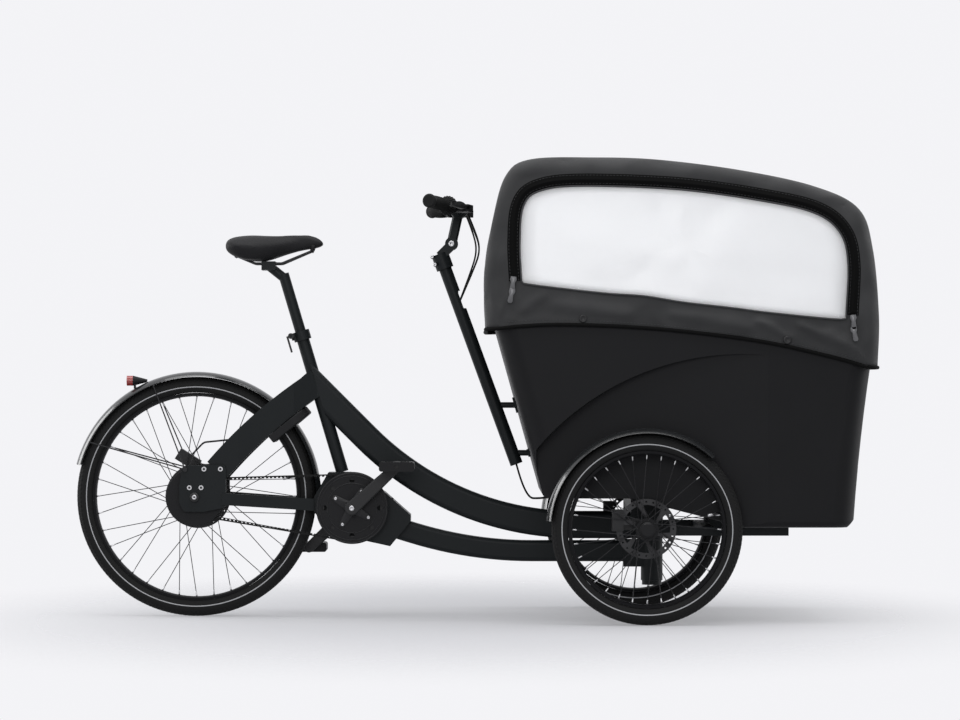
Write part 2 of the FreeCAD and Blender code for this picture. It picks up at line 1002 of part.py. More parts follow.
keep(place(tyre("RearTyre", d.rear_wheel_radius, d.rear_tyre_height), rear_axle_x, 0, rear_z), "rear_tyre")
keep(place(rim("RearRim", d.rear_wheel_radius, d.rear_tyre_height), rear_axle_x, 0, rear_z), "rear_rim")
keep(spokes(d.rear_spoke_count, d.rear_flange_radius - d.spoke_hole_inset, d.rear_flange_y,
            d.rear_flange_wall, rear_flange - d.rim_depth, d.rear_spoke_twist_angle,
            rear_axle_x, 0, rear_z), "rear_spokes")

axle_bore = d.axle_radius + d.running_gap
inside = d.rear_flange_y - d.rear_flange_wall / 2
outside = d.rear_flange_y + d.rear_flange_wall / 2
rear_hub = turned("RearHub", [
    (-d.rear_hub_right_end, axle_bore),
    (-d.rear_hub_right_end, d.rear_hub_boss_radius),
    (-outside - d.hub_taper, d.rear_hub_step_radius),
    (-outside, d.rear_hub_step_radius + d.hub_taper),
    (-outside, d.rear_flange_radius),
    (-inside, d.rear_flange_radius),
    (-inside, d.rear_hub_radius - d.hub_taper),
    (d.hub_taper - inside, d.rear_hub_radius),
    (inside - d.hub_taper, d.rear_hub_radius),
    (inside, d.rear_hub_radius - d.hub_taper),
    (inside, d.rear_flange_radius),
    (outside, d.rear_flange_radius),
    (outside, d.rear_hub_step_radius + d.hub_taper),
    (outside + d.hub_taper, d.rear_hub_step_radius),
    (d.rear_hub_right_end, d.rear_hub_boss_radius),
    (d.rear_hub_left_end, d.rear_hub_boss_radius),
    (d.rear_hub_left_end, axle_bore),
])
keep(place(rear_hub, rear_axle_x, 0, rear_z), "rear_hub")
rear_disc = disc("RearDisc", d.rear_disc_radius, axle_bore + d.disc_hub_ring)
rear_disc_y = d.rear_hub_left_end + d.seat_gap + d.disc_wall / 2
keep(place(rear_disc, rear_axle_x, rear_disc_y, rear_z), "rear_disc")

for side, sign in (("right", -1), ("left", 1)):
    turn = about("z", 0 if sign < 0 else HALF_TURN)
    y = sign * wheel_plane_y
    piece = tyre("FrontTyre", d.front_wheel_radius, d.front_tyre_height)
    keep(place(piece, d.front_axle_x, y, front_z), f"front_tyre_{side}")
    piece = rim("FrontRim", d.front_wheel_radius, d.front_tyre_height)
    keep(place(piece, d.front_axle_x, y, front_z), f"front_rim_{side}")
    keep(spokes(d.front_spoke_count, d.front_flange_radius - d.spoke_hole_inset, d.front_flange_y,
                d.front_flange_wall, front_flange - d.rim_depth, d.front_spoke_twist_angle,
                d.front_axle_x, y, front_z), f"front_spokes_{side}")
    bore = d.stub_radius + d.running_gap
    inside = d.front_flange_y - d.front_flange_wall / 2
    outside = d.front_flange_y + d.front_flange_wall / 2
    closed = d.stub_reach + d.seat_gap
    hub = turned("FrontHub", [
        (d.front_hub_inner_end, bore),
        (d.front_hub_inner_end, d.front_hub_radius),
        (outside, d.front_hub_radius),
        (outside, d.front_flange_radius),
        (inside, d.front_flange_radius),
        (inside, d.front_hub_radius),
        (-inside, d.front_hub_radius),
        (-inside, d.front_flange_radius),
        (-outside, d.front_flange_radius),
        (-outside, d.front_hub_radius),
        (-d.front_cap_start, d.front_hub_radius),
        (-d.front_cap_start, d.front_cap_radius),
        (d.hub_taper - d.front_cap_end, d.front_cap_radius),
        (-d.front_cap_end, d.front_cap_radius - d.hub_taper),
        (-d.front_cap_end, 0),
        (-closed, 0),
        (-closed, bore),
    ])
    place(hub, d.front_axle_x, y, front_z, turn)
    plate = disc("FrontDisc", d.front_disc_radius, d.front_hub_radius + d.seat_gap)
    place(plate, d.front_axle_x, y - sign * d.front_disc_in, front_z)
    keep(group(hub, plate), f"front_hub_{side}")

# Mudguards


def mudguard(name, radius, start, finish):
    """An arched strip round a wheel, and the turn that brings it from its start angle to its end angle."""
    edge = radius - d.guard_rise
    half = d.guard_width / 2
    owner = turned(name, [
        (-half, edge),
        ("via", 0, radius),
        (half, edge),
        (half - d.guard_wall, edge),
        ("via", 0, radius - d.guard_wall),
        (d.guard_wall - half, edge),
    ], finish - start)
    return owner, about("y", QUARTER_TURN - (float(start) + float(finish)) / 2)


guard, turn = mudguard("RearGuard", rear_guard_radius, d.rear_guard_start_angle, d.rear_guard_end_angle)
keep(place(guard, rear_axle_x, 0, rear_z, turn), "rear_mudguard")

clip_x = rear_axle_x - d.dropout_shoulder_x
clip_z = rear_z + d.dropout_top - d.dropout_corner
plate_face = d.yoke_outer + d.dropout_wall + d.seat_gap * 2
stay_y = plate_face + d.guard_stay_radius * 2 + d.guard_stay_radius
stays = []
for sign in (-1, 1):
    low, high = sorted((sign * plate_face, sign * (stay_y + d.guard_stay_radius)), key=float)
    wires = [cross_rod(d.bolt_radius, clip_x, clip_z, low, high)]
    for angle in (d.guard_stay_upper_angle, d.guard_stay_lower_angle):
        reach = rear_guard_radius - d.guard_rise
        foot = (clip_x, sign * stay_y, clip_z)
        head_y = sign * (d.guard_width / 2 + d.guard_stay_radius + d.seat_gap)
        head = (rear_axle_x + reach * cosine(angle), head_y, rear_z + reach * sine(angle))
        wires.append(rod(d.guard_stay_radius, foot, head))
    stays.append(fuse(*wires))
keep(group(*stays), "rear_mudguard_stays")

guard, turn = mudguard("FrontGuard", d.front_guard_radius, d.front_guard_start_angle, d.front_guard_end_angle)
place(guard, d.front_axle_x, -wheel_plane_y, front_z, turn)
guard_top = front_z + d.front_guard_radius - d.guard_rise
tab_outer = wheel_plane_y - d.guard_width / 2 + d.guard_wall
tab_front_x = d.front_axle_x + d.guard_tab_width / 2
arch_inset = d.arch_depth * (d.arch_end_x - tab_front_x) / (d.arch_end_x - d.arch_start_x)
tab_inner = d.box_half - arch_inset + d.seat_gap
tab = block(d.guard_tab_width, tab_outer - tab_inner, d.guard_tab_wall, d.front_axle_x,
            -(tab_outer + tab_inner) / 2, guard_top + d.guard_tab_wall / 2)
right_guard = fuse(guard, tab)
keep(group(right_guard, mirrored(right_guard)), "front_mudguards")

# Rear frame: seat tube, beams, head

lean = about("y", -d.seat_lean_angle)
lean_x = sine(d.seat_lean_angle)
lean_z = cosine(d.seat_lean_angle)


def on_seat_axis(z):
    """The seat axis at a height: it passes through the crank axis and leans back."""
    return d.crank_x - (z - d.crank_z) * lean_x / lean_z


web_top = d.crank_z + d.bracket_crown
# The yoke stands on the dropouts and reaches over the tyre to the seat tube.
sin_y, cos_y = sine(d.yoke_slope_angle), cosine(d.yoke_slope_angle)
yoke_length = d.rear_wheel_radius + d.yoke_overhang
yoke_top_x = rear_axle_x + d.yoke_foot_x + yoke_length * cos_y
yoke_top_z = rear_z + d.yoke_foot_z + yoke_length * sin_y
yoke_axis_x = on_seat_axis(yoke_top_z)
trim_reach = (yoke_length - d.seat_gap) / 2 / lean_z
seat_tube_top = yoke_top_z + d.seat_tube_rise
tube_low = web_top + d.seat_gap
tube_length = (seat_tube_top - tube_low) / lean_z
seat_solid = cylinder(d.seat_tube_radius, tube_length, on_seat_axis(tube_low), 0, tube_low, lean)
seat_floor = block(d.bracket_rear, d.bracket_rear, d.seat_tube_radius,
                   on_seat_axis(web_top), 0, web_top + d.seat_gap - d.seat_tube_radius / 2)
seat_bore = cylinder(d.post_radius + d.running_gap, tube_length + d.cut_overrun * 2,
                     on_seat_axis(tube_low - d.cut_overrun), 0, tube_low - d.cut_overrun, lean)
keep(cut(seat_solid, seat_floor, seat_bore), "seat_tube")

seat_keepout = cylinder(d.seat_tube_radius + d.seat_gap / 2, tube_length,
                        on_seat_axis(tube_low), 0, tube_low, lean)
head_length = d.head_top - d.head_bottom
head_keepout = cylinder(d.head_radius + d.seat_gap / 2, head_length, d.steer_x, 0, d.head_bottom)


def swept_side(name, depth, half, bend, flat_x, flat_z, slope, tail, corner):
    """A beam seen from the side: a straight tail, one long bend, then level to the steering head."""
    centre_z = flat_z + bend
    inner, outer = bend - depth / 2, bend + depth / 2
    sin_a, cos_a = sine(slope), cosine(slope)
    sin_b, cos_b = sine(slope / 2), cosine(slope / 2)
    owner = body(name)
    profile = outline(sketch(owner, "XZ_Plane"), [
        (d.steer_x, centre_z - inner),
        (flat_x, centre_z - inner),
        ("via", flat_x - inner * sin_b, centre_z - inner * cos_b),
        (flat_x - inner * sin_a, centre_z - inner * cos_a),
        (flat_x - inner * sin_a - tail * cos_a, centre_z - inner * cos_a + tail * sin_a),
        (flat_x - outer * sin_a - tail * cos_a, centre_z - outer * cos_a + tail * sin_a),
        (flat_x - outer * sin_a, centre_z - outer * cos_a),
        ("via", flat_x - outer * sin_b, centre_z - outer * cos_b),
        (flat_x, centre_z - outer),
        (d.steer_x, centre_z - outer),
    ])
    shape = pad(owner, profile, half * 2)
    soften(owner, shape, corner, across_y)
    return owner


beam_bend_x = d.beam_flat_x - d.beam_bend_radius * sine(d.beam_slope_angle)
beam_tail = (beam_bend_x - yoke_axis_x) / cosine(d.beam_slope_angle) + d.beam_depth
main_beam = swept_side("MainBeam", d.beam_depth, d.beam_half, d.beam_bend_radius, d.beam_flat_x,
                       d.beam_flat_z, d.beam_slope_angle, beam_tail, d.beam_corner)
rear_side = block(yoke_length, d.bracket_rear, yoke_length * 2, yoke_axis_x - trim_reach, 0, yoke_top_z, lean)
keep(cut(main_beam, rear_side, seat_keepout, head_keepout), "main_beam")

lug_height = d.lug_top - d.lug_bottom
lug_mid_z = (d.lug_top + d.lug_bottom) / 2
head = fuse(cylinder(d.head_radius, head_length, d.steer_x, 0, d.head_bottom),
            block(d.lug_back, d.lug_half * 2, lug_height, d.steer_x - d.lug_back / 2, 0, lug_mid_z))
head_bore = cylinder(d.kingpin_radius + d.running_gap, d.head_top,
                     d.steer_x, 0, d.head_bottom - d.cut_overrun)
keep(cut(head, head_bore), "head_tube")

# Motor bracket and lower beam

at_x = d.crank_x
at_z = d.crank_z
bracket_path = [
    (at_x - d.bracket_rear, at_z + d.bracket_stay_top),
    (at_x - d.bracket_crown_rear, at_z + d.bracket_crown),
    (at_x - d.bracket_crown_front, at_z + d.bracket_crown),
    (at_x + d.bracket_shoulder_x, at_z + d.bracket_shoulder_z),
    (at_x + d.bracket_nose_x, at_z - d.bracket_nose_top),
    (at_x + d.bracket_nose_x, at_z - d.bracket_nose_bottom),
    (at_x + d.bracket_keel_front, at_z - d.bracket_keel_z),
    (at_x + d.bracket_keel_rear, at_z - d.bracket_belly),
    (at_x - d.bracket_keel_rear, at_z - d.bracket_belly),
    (at_x - d.bracket_rear, at_z - d.bracket_stay_bottom),
]
bracket = slab("Bracket", bracket_path, (d.bracket_inner + d.bracket_wall) * 2)
motor_room = cross_rod(d.motor_radius + d.seat_gap, at_x, at_z, -d.bracket_inner, d.bracket_inner)
nose_room = block(d.motor_nose_x + d.seat_gap, d.bracket_inner * 2, d.motor_nose_half * 2 + d.seat_gap * 2,
                  at_x + (d.motor_nose_x + d.seat_gap) / 2, 0, at_z - d.motor_nose_half / 2)
rear_room = block(d.motor_radius, d.bracket_inner * 2, d.bracket_crown * 2,
                  at_x - d.motor_radius - d.motor_radius / 2 + d.bracket_web, 0, at_z)
low_room = block(d.motor_radius * 2, d.bracket_inner * 2, d.bracket_belly,
                 at_x, 0, at_z - d.bracket_belly / 2 - d.motor_nose_half)
boss_hole = cross_rod(d.motor_boss_radius + d.seat_gap, at_x, at_z, -d.bracket_inner * 2, d.bracket_inner * 2)
lower_bend_x = d.lower_flat_x - d.lower_bend_radius * sine(d.lower_slope_angle)
lower_end_x = at_x + d.bracket_nose_x - d.lower_root
lower_tail = (lower_bend_x - lower_end_x) / cosine(d.lower_slope_angle)
lower = swept_side("LowerBeam", d.lower_depth, d.lower_half, d.lower_bend_radius, d.lower_flat_x,
                   d.lower_flat_z, d.lower_slope_angle, lower_tail, d.lower_corner)
lug_space = block(d.lug_back + d.seat_gap, d.lug_half * 2, lug_height,
                  d.steer_x - (d.lug_back + d.seat_gap) / 2, 0, lug_mid_z)
lower = cut(lower, lug_space, head_keepout)
keep(cut(fuse(bracket, lower), motor_room, nose_room, rear_room, low_room, boss_hole), "lower_beam")

motor = body("Motor")
pad(motor, ring(sketch(motor, "XZ_Plane"), d.motor_radius), d.motor_half * 2)
NOSE_TOP_SHARE = 0.25
NOSE_KEEL_SHARE = 1.25
pad(motor, outline(sketch(motor, "XZ_Plane"), [
    (0, d.motor_nose_half / 2),
    (d.motor_nose_x, d.motor_nose_half * NOSE_TOP_SHARE),
    (d.motor_nose_x, -d.motor_nose_half),
    (d.motor_edge, -d.motor_nose_half * NOSE_KEEL_SHARE),
]), d.motor_half * 2)
pad(motor, ring(sketch(motor, "XZ_Plane"), d.motor_boss_radius), d.motor_boss_half * 2)
pocket(motor, ring(sketch(motor, "XZ_Plane"), d.spindle_radius + d.running_gap))
keep(place(motor, at_x, 0, at_z), "motor_unit")

# Yoke over the rear wheel


def yoke_point(run, lift):
    """A point in the yoke's side view: a run down from its top and a lift off its middle line."""
    return (yoke_top_x - run * cos_y - lift * sin_y, yoke_top_z - run * sin_y + lift * cos_y)


half = d.yoke_depth / 2
crotch_x = rear_axle_x + (rear_guard_radius + d.yoke_guard_clear) * cos_y
flare_x = rear_axle_x + d.yoke_flare_reach
yoke = body("Yoke")
pad(yoke, outline(sketch(yoke, "XZ_Plane"), [
    yoke_point(0, half),
    ("via", *yoke_point(yoke_length / 2, half + d.yoke_bow)),
    yoke_point(yoke_length, half),
    yoke_point(yoke_length, -half),
    ("via", *yoke_point(yoke_length / 2, d.yoke_bow - half)),
    yoke_point(0, -half),
    yoke_point(-half, -half),
    yoke_point(-half, half),
]), d.yoke_outer * 2)
far_x = rear_axle_x - d.rear_wheel_radius
near_x = d.crank_x
pocket(yoke, outline(sketch(yoke, "XY_Plane"), [
    (far_x, -d.yoke_inner),
    (flare_x, -d.yoke_inner),
    (crotch_x, -d.yoke_crotch_half),
    (crotch_x, d.yoke_crotch_half),
    (flare_x, d.yoke_inner),
    (far_x, d.yoke_inner),
]))
for sign in (-1, 1):
    pocket(yoke, outline(sketch(yoke, "XY_Plane"), [
        (near_x, sign * d.yoke_neck_half),
        (yoke_axis_x, sign * d.yoke_neck_half),
        (crotch_x, sign * d.yoke_crotch_outer),
        (flare_x, sign * d.yoke_outer),
        (flare_x, sign * d.yoke_outer * 2),
        (near_x, sign * d.yoke_outer * 2),
    ]))
front_side = block(yoke_length, d.yoke_outer * 2, yoke_length * 2,
                   yoke_axis_x + trim_reach, 0, yoke_top_z, lean)
keep(cut(yoke, front_side, seat_keepout), "rear_yoke")

# Chainstays with their dropout plates

dropout_y = d.yoke_outer + d.seat_gap + d.dropout_wall / 2
stay_front_x = at_x - d.bracket_rear - d.seat_gap
stay_rear_x = rear_axle_x + d.dropout_front - d.dropout_corner
stay_front_z = at_z + d.stay_front_rise
stay_rear_z = rear_z - d.stay_rear_drop
arms = []


def plate_corner(edge):
    """Whether an edge is an outer corner of the dropout plate, not its axle hole."""
    return along_y(edge) and edge.Vertexes[0].Point.Length > float(d.axle_radius) * 2


for sign in (-1, 1):
    plate = slab("Dropout", [
        (d.dropout_shoulder_x, d.dropout_top),
        (d.dropout_front, d.dropout_top),
        (d.dropout_front, -d.dropout_front_low),
        (d.dropout_shoulder_x, -d.dropout_foot),
        (-d.dropout_rear_top, -d.dropout_foot),
        (-d.dropout_rear, -d.dropout_rear_low),
        (-d.dropout_rear, d.dropout_rear_top),
        (-d.caliper_lug_x, d.caliper_lug_top),
    ], d.dropout_wall, [(d.axle_radius + d.running_gap,)])
    soften(plate, plate.Tip, d.dropout_corner, plate_corner)
    place(plate, rear_axle_x, sign * dropout_y, rear_z)
    run_x = stay_front_x - stay_rear_x
    run_y = dropout_y - d.stay_front_y
    run_z = stay_front_z - stay_rear_z
    swing = about("z", sign * math.degrees(math.atan2(-float(run_y), float(run_x))))
    dip = about("y", -math.degrees(math.atan2(float(run_z), float(run_x))))
    bar = block(root(run_x * run_x + run_y * run_y + run_z * run_z), d.stay_wall, d.stay_depth,
                (stay_front_x + stay_rear_x) / 2, sign * (dropout_y + d.stay_front_y) / 2,
                (stay_front_z + stay_rear_z) / 2, swing.multiply(dip))
    arms.append(fuse(plate, bar))
front_trim = block(d.bracket_rear, d.yoke_outer * 2, d.bracket_rear * 2,
                   stay_front_x + d.bracket_rear / 2, 0, at_z)
keep(cut(group(*arms), front_trim), "chainstays")

# Axle, bolts and hub cover

nut_face = dropout_y + d.dropout_wall / 2 + d.seat_gap
axle = turned("RearAxle", [
    (-nut_face - d.rear_nut_length, 0),
    (-nut_face - d.rear_nut_length, d.rear_nut_radius),
    (-nut_face, d.rear_nut_radius),
    (-nut_face, d.axle_radius),
    (nut_face, d.axle_radius),
    (nut_face, d.rear_nut_radius),
    (nut_face + d.rear_nut_length, d.rear_nut_radius),
    (nut_face + d.rear_nut_length, d.axle_radius),
    (nut_face + d.rear_nut_length + d.rear_axle_stub, d.axle_radius),
    (nut_face + d.rear_nut_length + d.rear_axle_stub, 0),
])
keep(place(axle, rear_axle_x, 0, rear_z), "rear_axle")

bolts = []
for sign in (-1, 1):
    low, high = sorted((sign * nut_face, sign * (nut_face + d.bolt_height)), key=float)
    for x, z in ((d.bolt_upper_front_x, d.bolt_upper_z), (d.bolt_upper_rear_x, d.bolt_upper_z),
                 (d.bolt_lower_front_x, d.bolt_lower_z), (d.bolt_lower_rear_x, d.bolt_lower_z)):
        bolts.append(cross_rod(d.bolt_radius, rear_axle_x + x, rear_z + z, low, high))
keep(group(*bolts), "dropout_bolts")

cover = body("HubCover")
cover_pad = pad(cover, ring(sketch(cover, "XZ_Plane"), d.hub_cover_radius), d.hub_cover_wall)
soften(cover, cover_pad, d.hub_cover_corner, lambda edge: True)
pocket(cover, ring(sketch(cover, "XZ_Plane"), d.axle_radius + d.seat_gap))
keep(place(cover, rear_axle_x, d.hub_cover_y, rear_z), "rear_hub_cover")

# Belt drive

span_x = d.crank_x - rear_axle_x
span_z = d.crank_z - rear_z
span = root(span_x * span_x + span_z * span_z)
front_band = d.front_sprocket_radius + d.seat_gap
rear_band = d.rear_sprocket_radius + d.seat_gap
tilt_sine = (front_band - rear_band) / span
tilt_cosine = root(1 - tilt_sine * tilt_sine)


def loop(item, rear, front):
    """The belt's path round both sprockets, in a frame whose X runs from axle to crank."""
    return outline(item, [
        (-rear * tilt_sine, rear * tilt_cosine),
        (span - front * tilt_sine, front * tilt_cosine),
        ("via", span + front, 0),
        (span - front * tilt_sine, -front * tilt_cosine),
        (-rear * tilt_sine, -rear * tilt_cosine),
        ("via", -rear, 0),
    ])


belt = body("Belt")
pad(belt, loop(sketch(belt, "XZ_Plane"), rear_band + d.belt_wall, front_band + d.belt_wall), d.belt_width)
pocket(belt, loop(sketch(belt, "XZ_Plane"), rear_band, front_band))
belt_turn = about("y", -math.degrees(math.atan2(float(span_z), float(span_x))))
place(belt, rear_axle_x, d.belt_y, rear_z, belt_turn)
band_angle = math.degrees(math.asin(float(tilt_sine)))
run_length = span * tilt_cosine - d.belt_run_margin * 2
tooth_count = round(float(run_length / d.belt_pitch))
teeth = []
for sign in (-1, 1):
    run_turn = belt_turn.multiply(about("y", -sign * band_angle))
    for index in range(tooth_count):
        along = d.belt_run_margin + d.belt_pitch * (index + 1 / 2)
        lift = sign * (rear_band - d.belt_tooth / 2)
        spot = run_turn.multVec(Vector(float(along), 0, float(lift)))
        spot.z += sign * float(d.seat_gap) / 2
        teeth.append(block(d.belt_tooth_root, d.belt_width, d.belt_tooth + d.seat_gap,
                           rear_axle_x + spot.x, d.belt_y, rear_z + spot.z, run_turn))
keep(fuse(belt, *teeth), "drive_belt")


TOOTH_ROOT_SHARE = 0.67


def sprocket(name, radius, teeth, bore, half):
    """A toothed belt wheel about the Y axis."""
    owner = body(name)
    profile = ring(sketch(owner, "XZ_Plane"), radius)
    ring(profile, bore)
    pad(owner, profile, half * 2)
    gap_half = radius * math.pi / teeth / 2
    notch = pocket(owner, outline(sketch(owner, "XZ_Plane"), [
        (radius - d.sprocket_tooth, -gap_half * TOOTH_ROOT_SHARE),
        (radius + d.cut_overrun, -gap_half),
        (radius + d.cut_overrun, gap_half),
        (radius - d.sprocket_tooth, gap_half * TOOTH_ROOT_SHARE),
    ]))
    polar(owner, notch, teeth)
    return owner


front_wheel = sprocket("FrontSprocket", d.front_sprocket_radius, d.front_tooth_count,
                       d.spindle_radius + d.seat_gap, d.sprocket_half)
outer = d.front_sprocket_radius - d.sprocket_rim
window = d.sprocket_window_angle
sector = pocket(front_wheel, outline(sketch(front_wheel, "XZ_Plane"), [
    (d.sprocket_hub_radius * cosine(window), -d.sprocket_hub_radius * sine(window)),
    (outer * cosine(window), -outer * sine(window)),
    ("via", outer, 0),
    (outer * cosine(window), outer * sine(window)),
    (d.sprocket_hub_radius * cosine(window), d.sprocket_hub_radius * sine(window)),
    ("via", d.sprocket_hub_radius, 0),
]))
polar(front_wheel, sector, d.sprocket_arm_count)
keep(place(front_wheel, at_x, d.belt_y, at_z), "front_sprocket")

rear_wheel = sprocket("RearSprocket", d.rear_sprocket_radius, d.rear_tooth_count, axle_bore, d.sprocket_half)
keep(place(rear_wheel, rear_axle_x, d.belt_y, rear_z), "rear_sprocket")

guard = body("SprocketGuard")
pad(guard, ring(sketch(guard, "XZ_Plane"), d.guard_disc_radius), d.guard_disc_wall)
pocket(guard, ring(sketch(guard, "XZ_Plane"), d.spindle_radius + d.seat_gap))
slot = pocket(guard, ring(sketch(guard, "XZ_Plane"), d.guard_slot_radius, d.guard_slot_circle, 0))
polar(guard, slot, d.guard_slot_count)
place(guard, at_x, d.guard_disc_y, at_z)
posts = []
post_foot = d.belt_y - d.sprocket_half - d.seat_gap
for index in range(SIZES["sprocket_arm_count"]):
    angle = QUARTER_TURN / 2 + QUARTER_TURN * index
    posts.append(cross_rod(d.guard_post_radius, at_x + d.guard_post_circle * cosine(angle),
                           at_z + d.guard_post_circle * sine(angle), d.guard_disc_y, post_foot))
keep(fuse(guard, *posts), "sprocket_guard")

# Cranks and pedals

arm_y = d.arm_inner + d.arm_wall / 2
arms = []
for sign in (-1, 1):
    turn = about("y", -d.crank_angle if sign < 0 else HALF_TURN - d.crank_angle)
    owner = body("CrankArm")
    taper = (d.arm_boss_radius - d.arm_end_radius) / d.crank_length
    level = root(1 - taper * taper)
    profile = outline(sketch(owner, "XZ_Plane"), [
        (d.arm_boss_radius * taper, d.arm_boss_radius * level),
        (d.crank_length + d.arm_end_radius * taper, d.arm_end_radius * level),
        ("via", d.crank_length + d.arm_end_radius, 0),
        (d.crank_length + d.arm_end_radius * taper, -d.arm_end_radius * level),
        (d.arm_boss_radius * taper, -d.arm_boss_radius * level),
        ("via", -d.arm_boss_radius, 0),
    ])
    shape = pad(owner, profile, d.arm_wall)
    soften(owner, shape, d.bolt_height, across_y)
    place(owner, at_x, sign * arm_y, at_z, turn)
    angle = d.crank_angle if sign < 0 else d.crank_angle + HALF_TURN
    pin_near = sign * arm_y
    pin_far = sign * (d.arm_inner + d.arm_wall + d.pedal_offset + d.pedal_width - d.pedal_corner)
    low, high = sorted((pin_near, pin_far), key=float)
    pin_x = at_x + d.crank_length * cosine(angle)
    pin_z = at_z + d.crank_length * sine(angle)
    pin = cross_rod(d.pedal_pin_radius, pin_x, pin_z, low, high)
    arms.extend((owner, pin))
spindle = cross_rod(d.spindle_radius, at_x, at_z, -d.arm_inner, d.arm_inner)
face = d.arm_inner + d.arm_wall
bolt = cross_rod(d.arm_bolt_radius, at_x, at_z, -face - d.arm_bolt_height, face + d.arm_bolt_height)
keep(fuse(spindle, bolt, *arms), "crank_arms")

for side, sign in (("right", -1), ("left", 1)):
    angle = d.crank_angle if sign < 0 else d.crank_angle + HALF_TURN
    owner = body("Pedal")
    shape = pad(owner, outline(sketch(owner, "XZ_Plane"), [
        (-d.pedal_length / 2, -d.pedal_depth / 2),
        (d.pedal_length / 2, -d.pedal_depth / 2),
        (d.pedal_length / 2, d.pedal_depth / 2),
        (-d.pedal_length / 2, d.pedal_depth / 2),
    ]), d.pedal_width)
    soften(owner, shape, d.pedal_corner, along_y)
    pocket(owner, ring(sketch(owner, "XZ_Plane"), d.pedal_pin_radius + d.running_gap))
    for end in (-1, 1):
        near = end * d.pedal_boss_radius
        far = end * (d.pedal_length / 2 - d.pedal_rail)
        across = d.pedal_width / 2 - d.pedal_rail
        pocket(owner, outline(sketch(owner, "XY_Plane"), [
            (near, -across), (far, -across), (far, across), (near, across),
        ]))
    middle = sign * (d.arm_inner + d.arm_wall + d.pedal_offset + d.pedal_width / 2)
    keep(place(owner, at_x + d.crank_length * cosine(angle), middle, at_z + d.crank_length * sine(angle)),
         f"pedal_{side}")

# Seat: clamp, lever, post, saddle

clamp_low = seat_tube_top - d.clamp_drop
clamp_body = cylinder(d.clamp_radius, d.clamp_height, on_seat_axis(clamp_low), 0, clamp_low, lean)
CLAMP_LUG_SHARE = 0.67
LEVER_PIN_SHARE = 0.75
clamp_hole = cylinder(d.seat_tube_radius + d.seat_gap, d.clamp_height * 2 + d.clamp_height,
                      on_seat_axis(clamp_low - d.clamp_height), 0, clamp_low - d.clamp_height, lean)
pivot_z = seat_tube_top - d.lever_pivot_drop
pivot_x = on_seat_axis(pivot_z) - d.lever_offset
lug = block(d.lever_offset, d.lever_pin_length, d.clamp_height * CLAMP_LUG_SHARE,
            pivot_x + d.lever_offset / 2, 0, pivot_z, lean)
slit = block(d.lever_offset * 2, d.bolt_height, d.clamp_height * 2, pivot_x, 0, pivot_z, lean)
lever_mid_y = d.lever_pin_length * LEVER_PIN_SHARE
pin = cross_rod(d.lever_pin_radius, pivot_x, pivot_z, -d.lever_pin_length, lever_mid_y)
keep(fuse(cut(fuse(clamp_body, lug), clamp_hole, slit), pin), "seat_clamp")

eye = cross_rod(d.lever_eye_radius, pivot_x, pivot_z,
                -d.lever_pin_length, -d.lever_pin_length / 2 - d.seat_gap)
blade = block(d.lever_wall, d.lever_width, d.lever_length, pivot_x - d.lever_eye_radius / 2,
              -lever_mid_y, pivot_z - d.lever_length / 2, lean)
eye_hole = cross_rod(d.lever_pin_radius + d.running_gap, pivot_x, pivot_z, -d.lever_pin_length * 2, 0)
keep(cut(fuse(eye, blade), eye_hole), "seat_lever")

post_low = seat_tube_top - d.post_insert
post_top = seat_tube_top + d.post_rise
saddle_clamp_z = post_top + d.saddle_clamp_rise
post = cylinder(d.post_radius, (post_top - post_low) / lean_z, on_seat_axis(post_low), 0, post_low, lean)
neck_z = post_top - d.post_neck_radius
neck = rod(d.post_neck_radius, (on_seat_axis(neck_z), 0, neck_z), (d.saddle_clamp_x, 0, saddle_clamp_z))
cradle = block(d.saddle_clamp_length, d.saddle_clamp_half * 2, d.saddle_clamp_depth,
               d.saddle_clamp_x, 0, saddle_clamp_z)
RAIL_HEIGHT_SHARE = 0.25
rail_z = saddle_clamp_z + d.saddle_clamp_depth * RAIL_HEIGHT_SHARE
rails = []
grooves = []
for sign in (-1, 1):
    y = sign * d.rail_half
    rear_x = d.saddle_clamp_x - d.rail_flat / 2
    front_x = d.saddle_clamp_x + d.rail_flat / 2
    rails.append(pipe([
        (d.saddle_clamp_x - d.rail_tail_x, y, rail_z + d.rail_tail_rise),
        (rear_x, y, rail_z),
        (front_x, y, rail_z),
        (d.saddle_clamp_x + d.rail_nose_x, sign * d.rail_nose_half, rail_z + d.rail_nose_rise),
    ], d.rail_radius, d.rail_bend))
    grooves.append(rod(d.rail_radius + d.running_gap, (rear_x, y, rail_z), (front_x, y, rail_z)))
keep(cut(fuse(post, neck, cradle), *grooves), "seatpost")
keep(group(*rails), "saddle_rails")

# The saddle: cross sections from tail to nose, each a crowned cap over a flat base

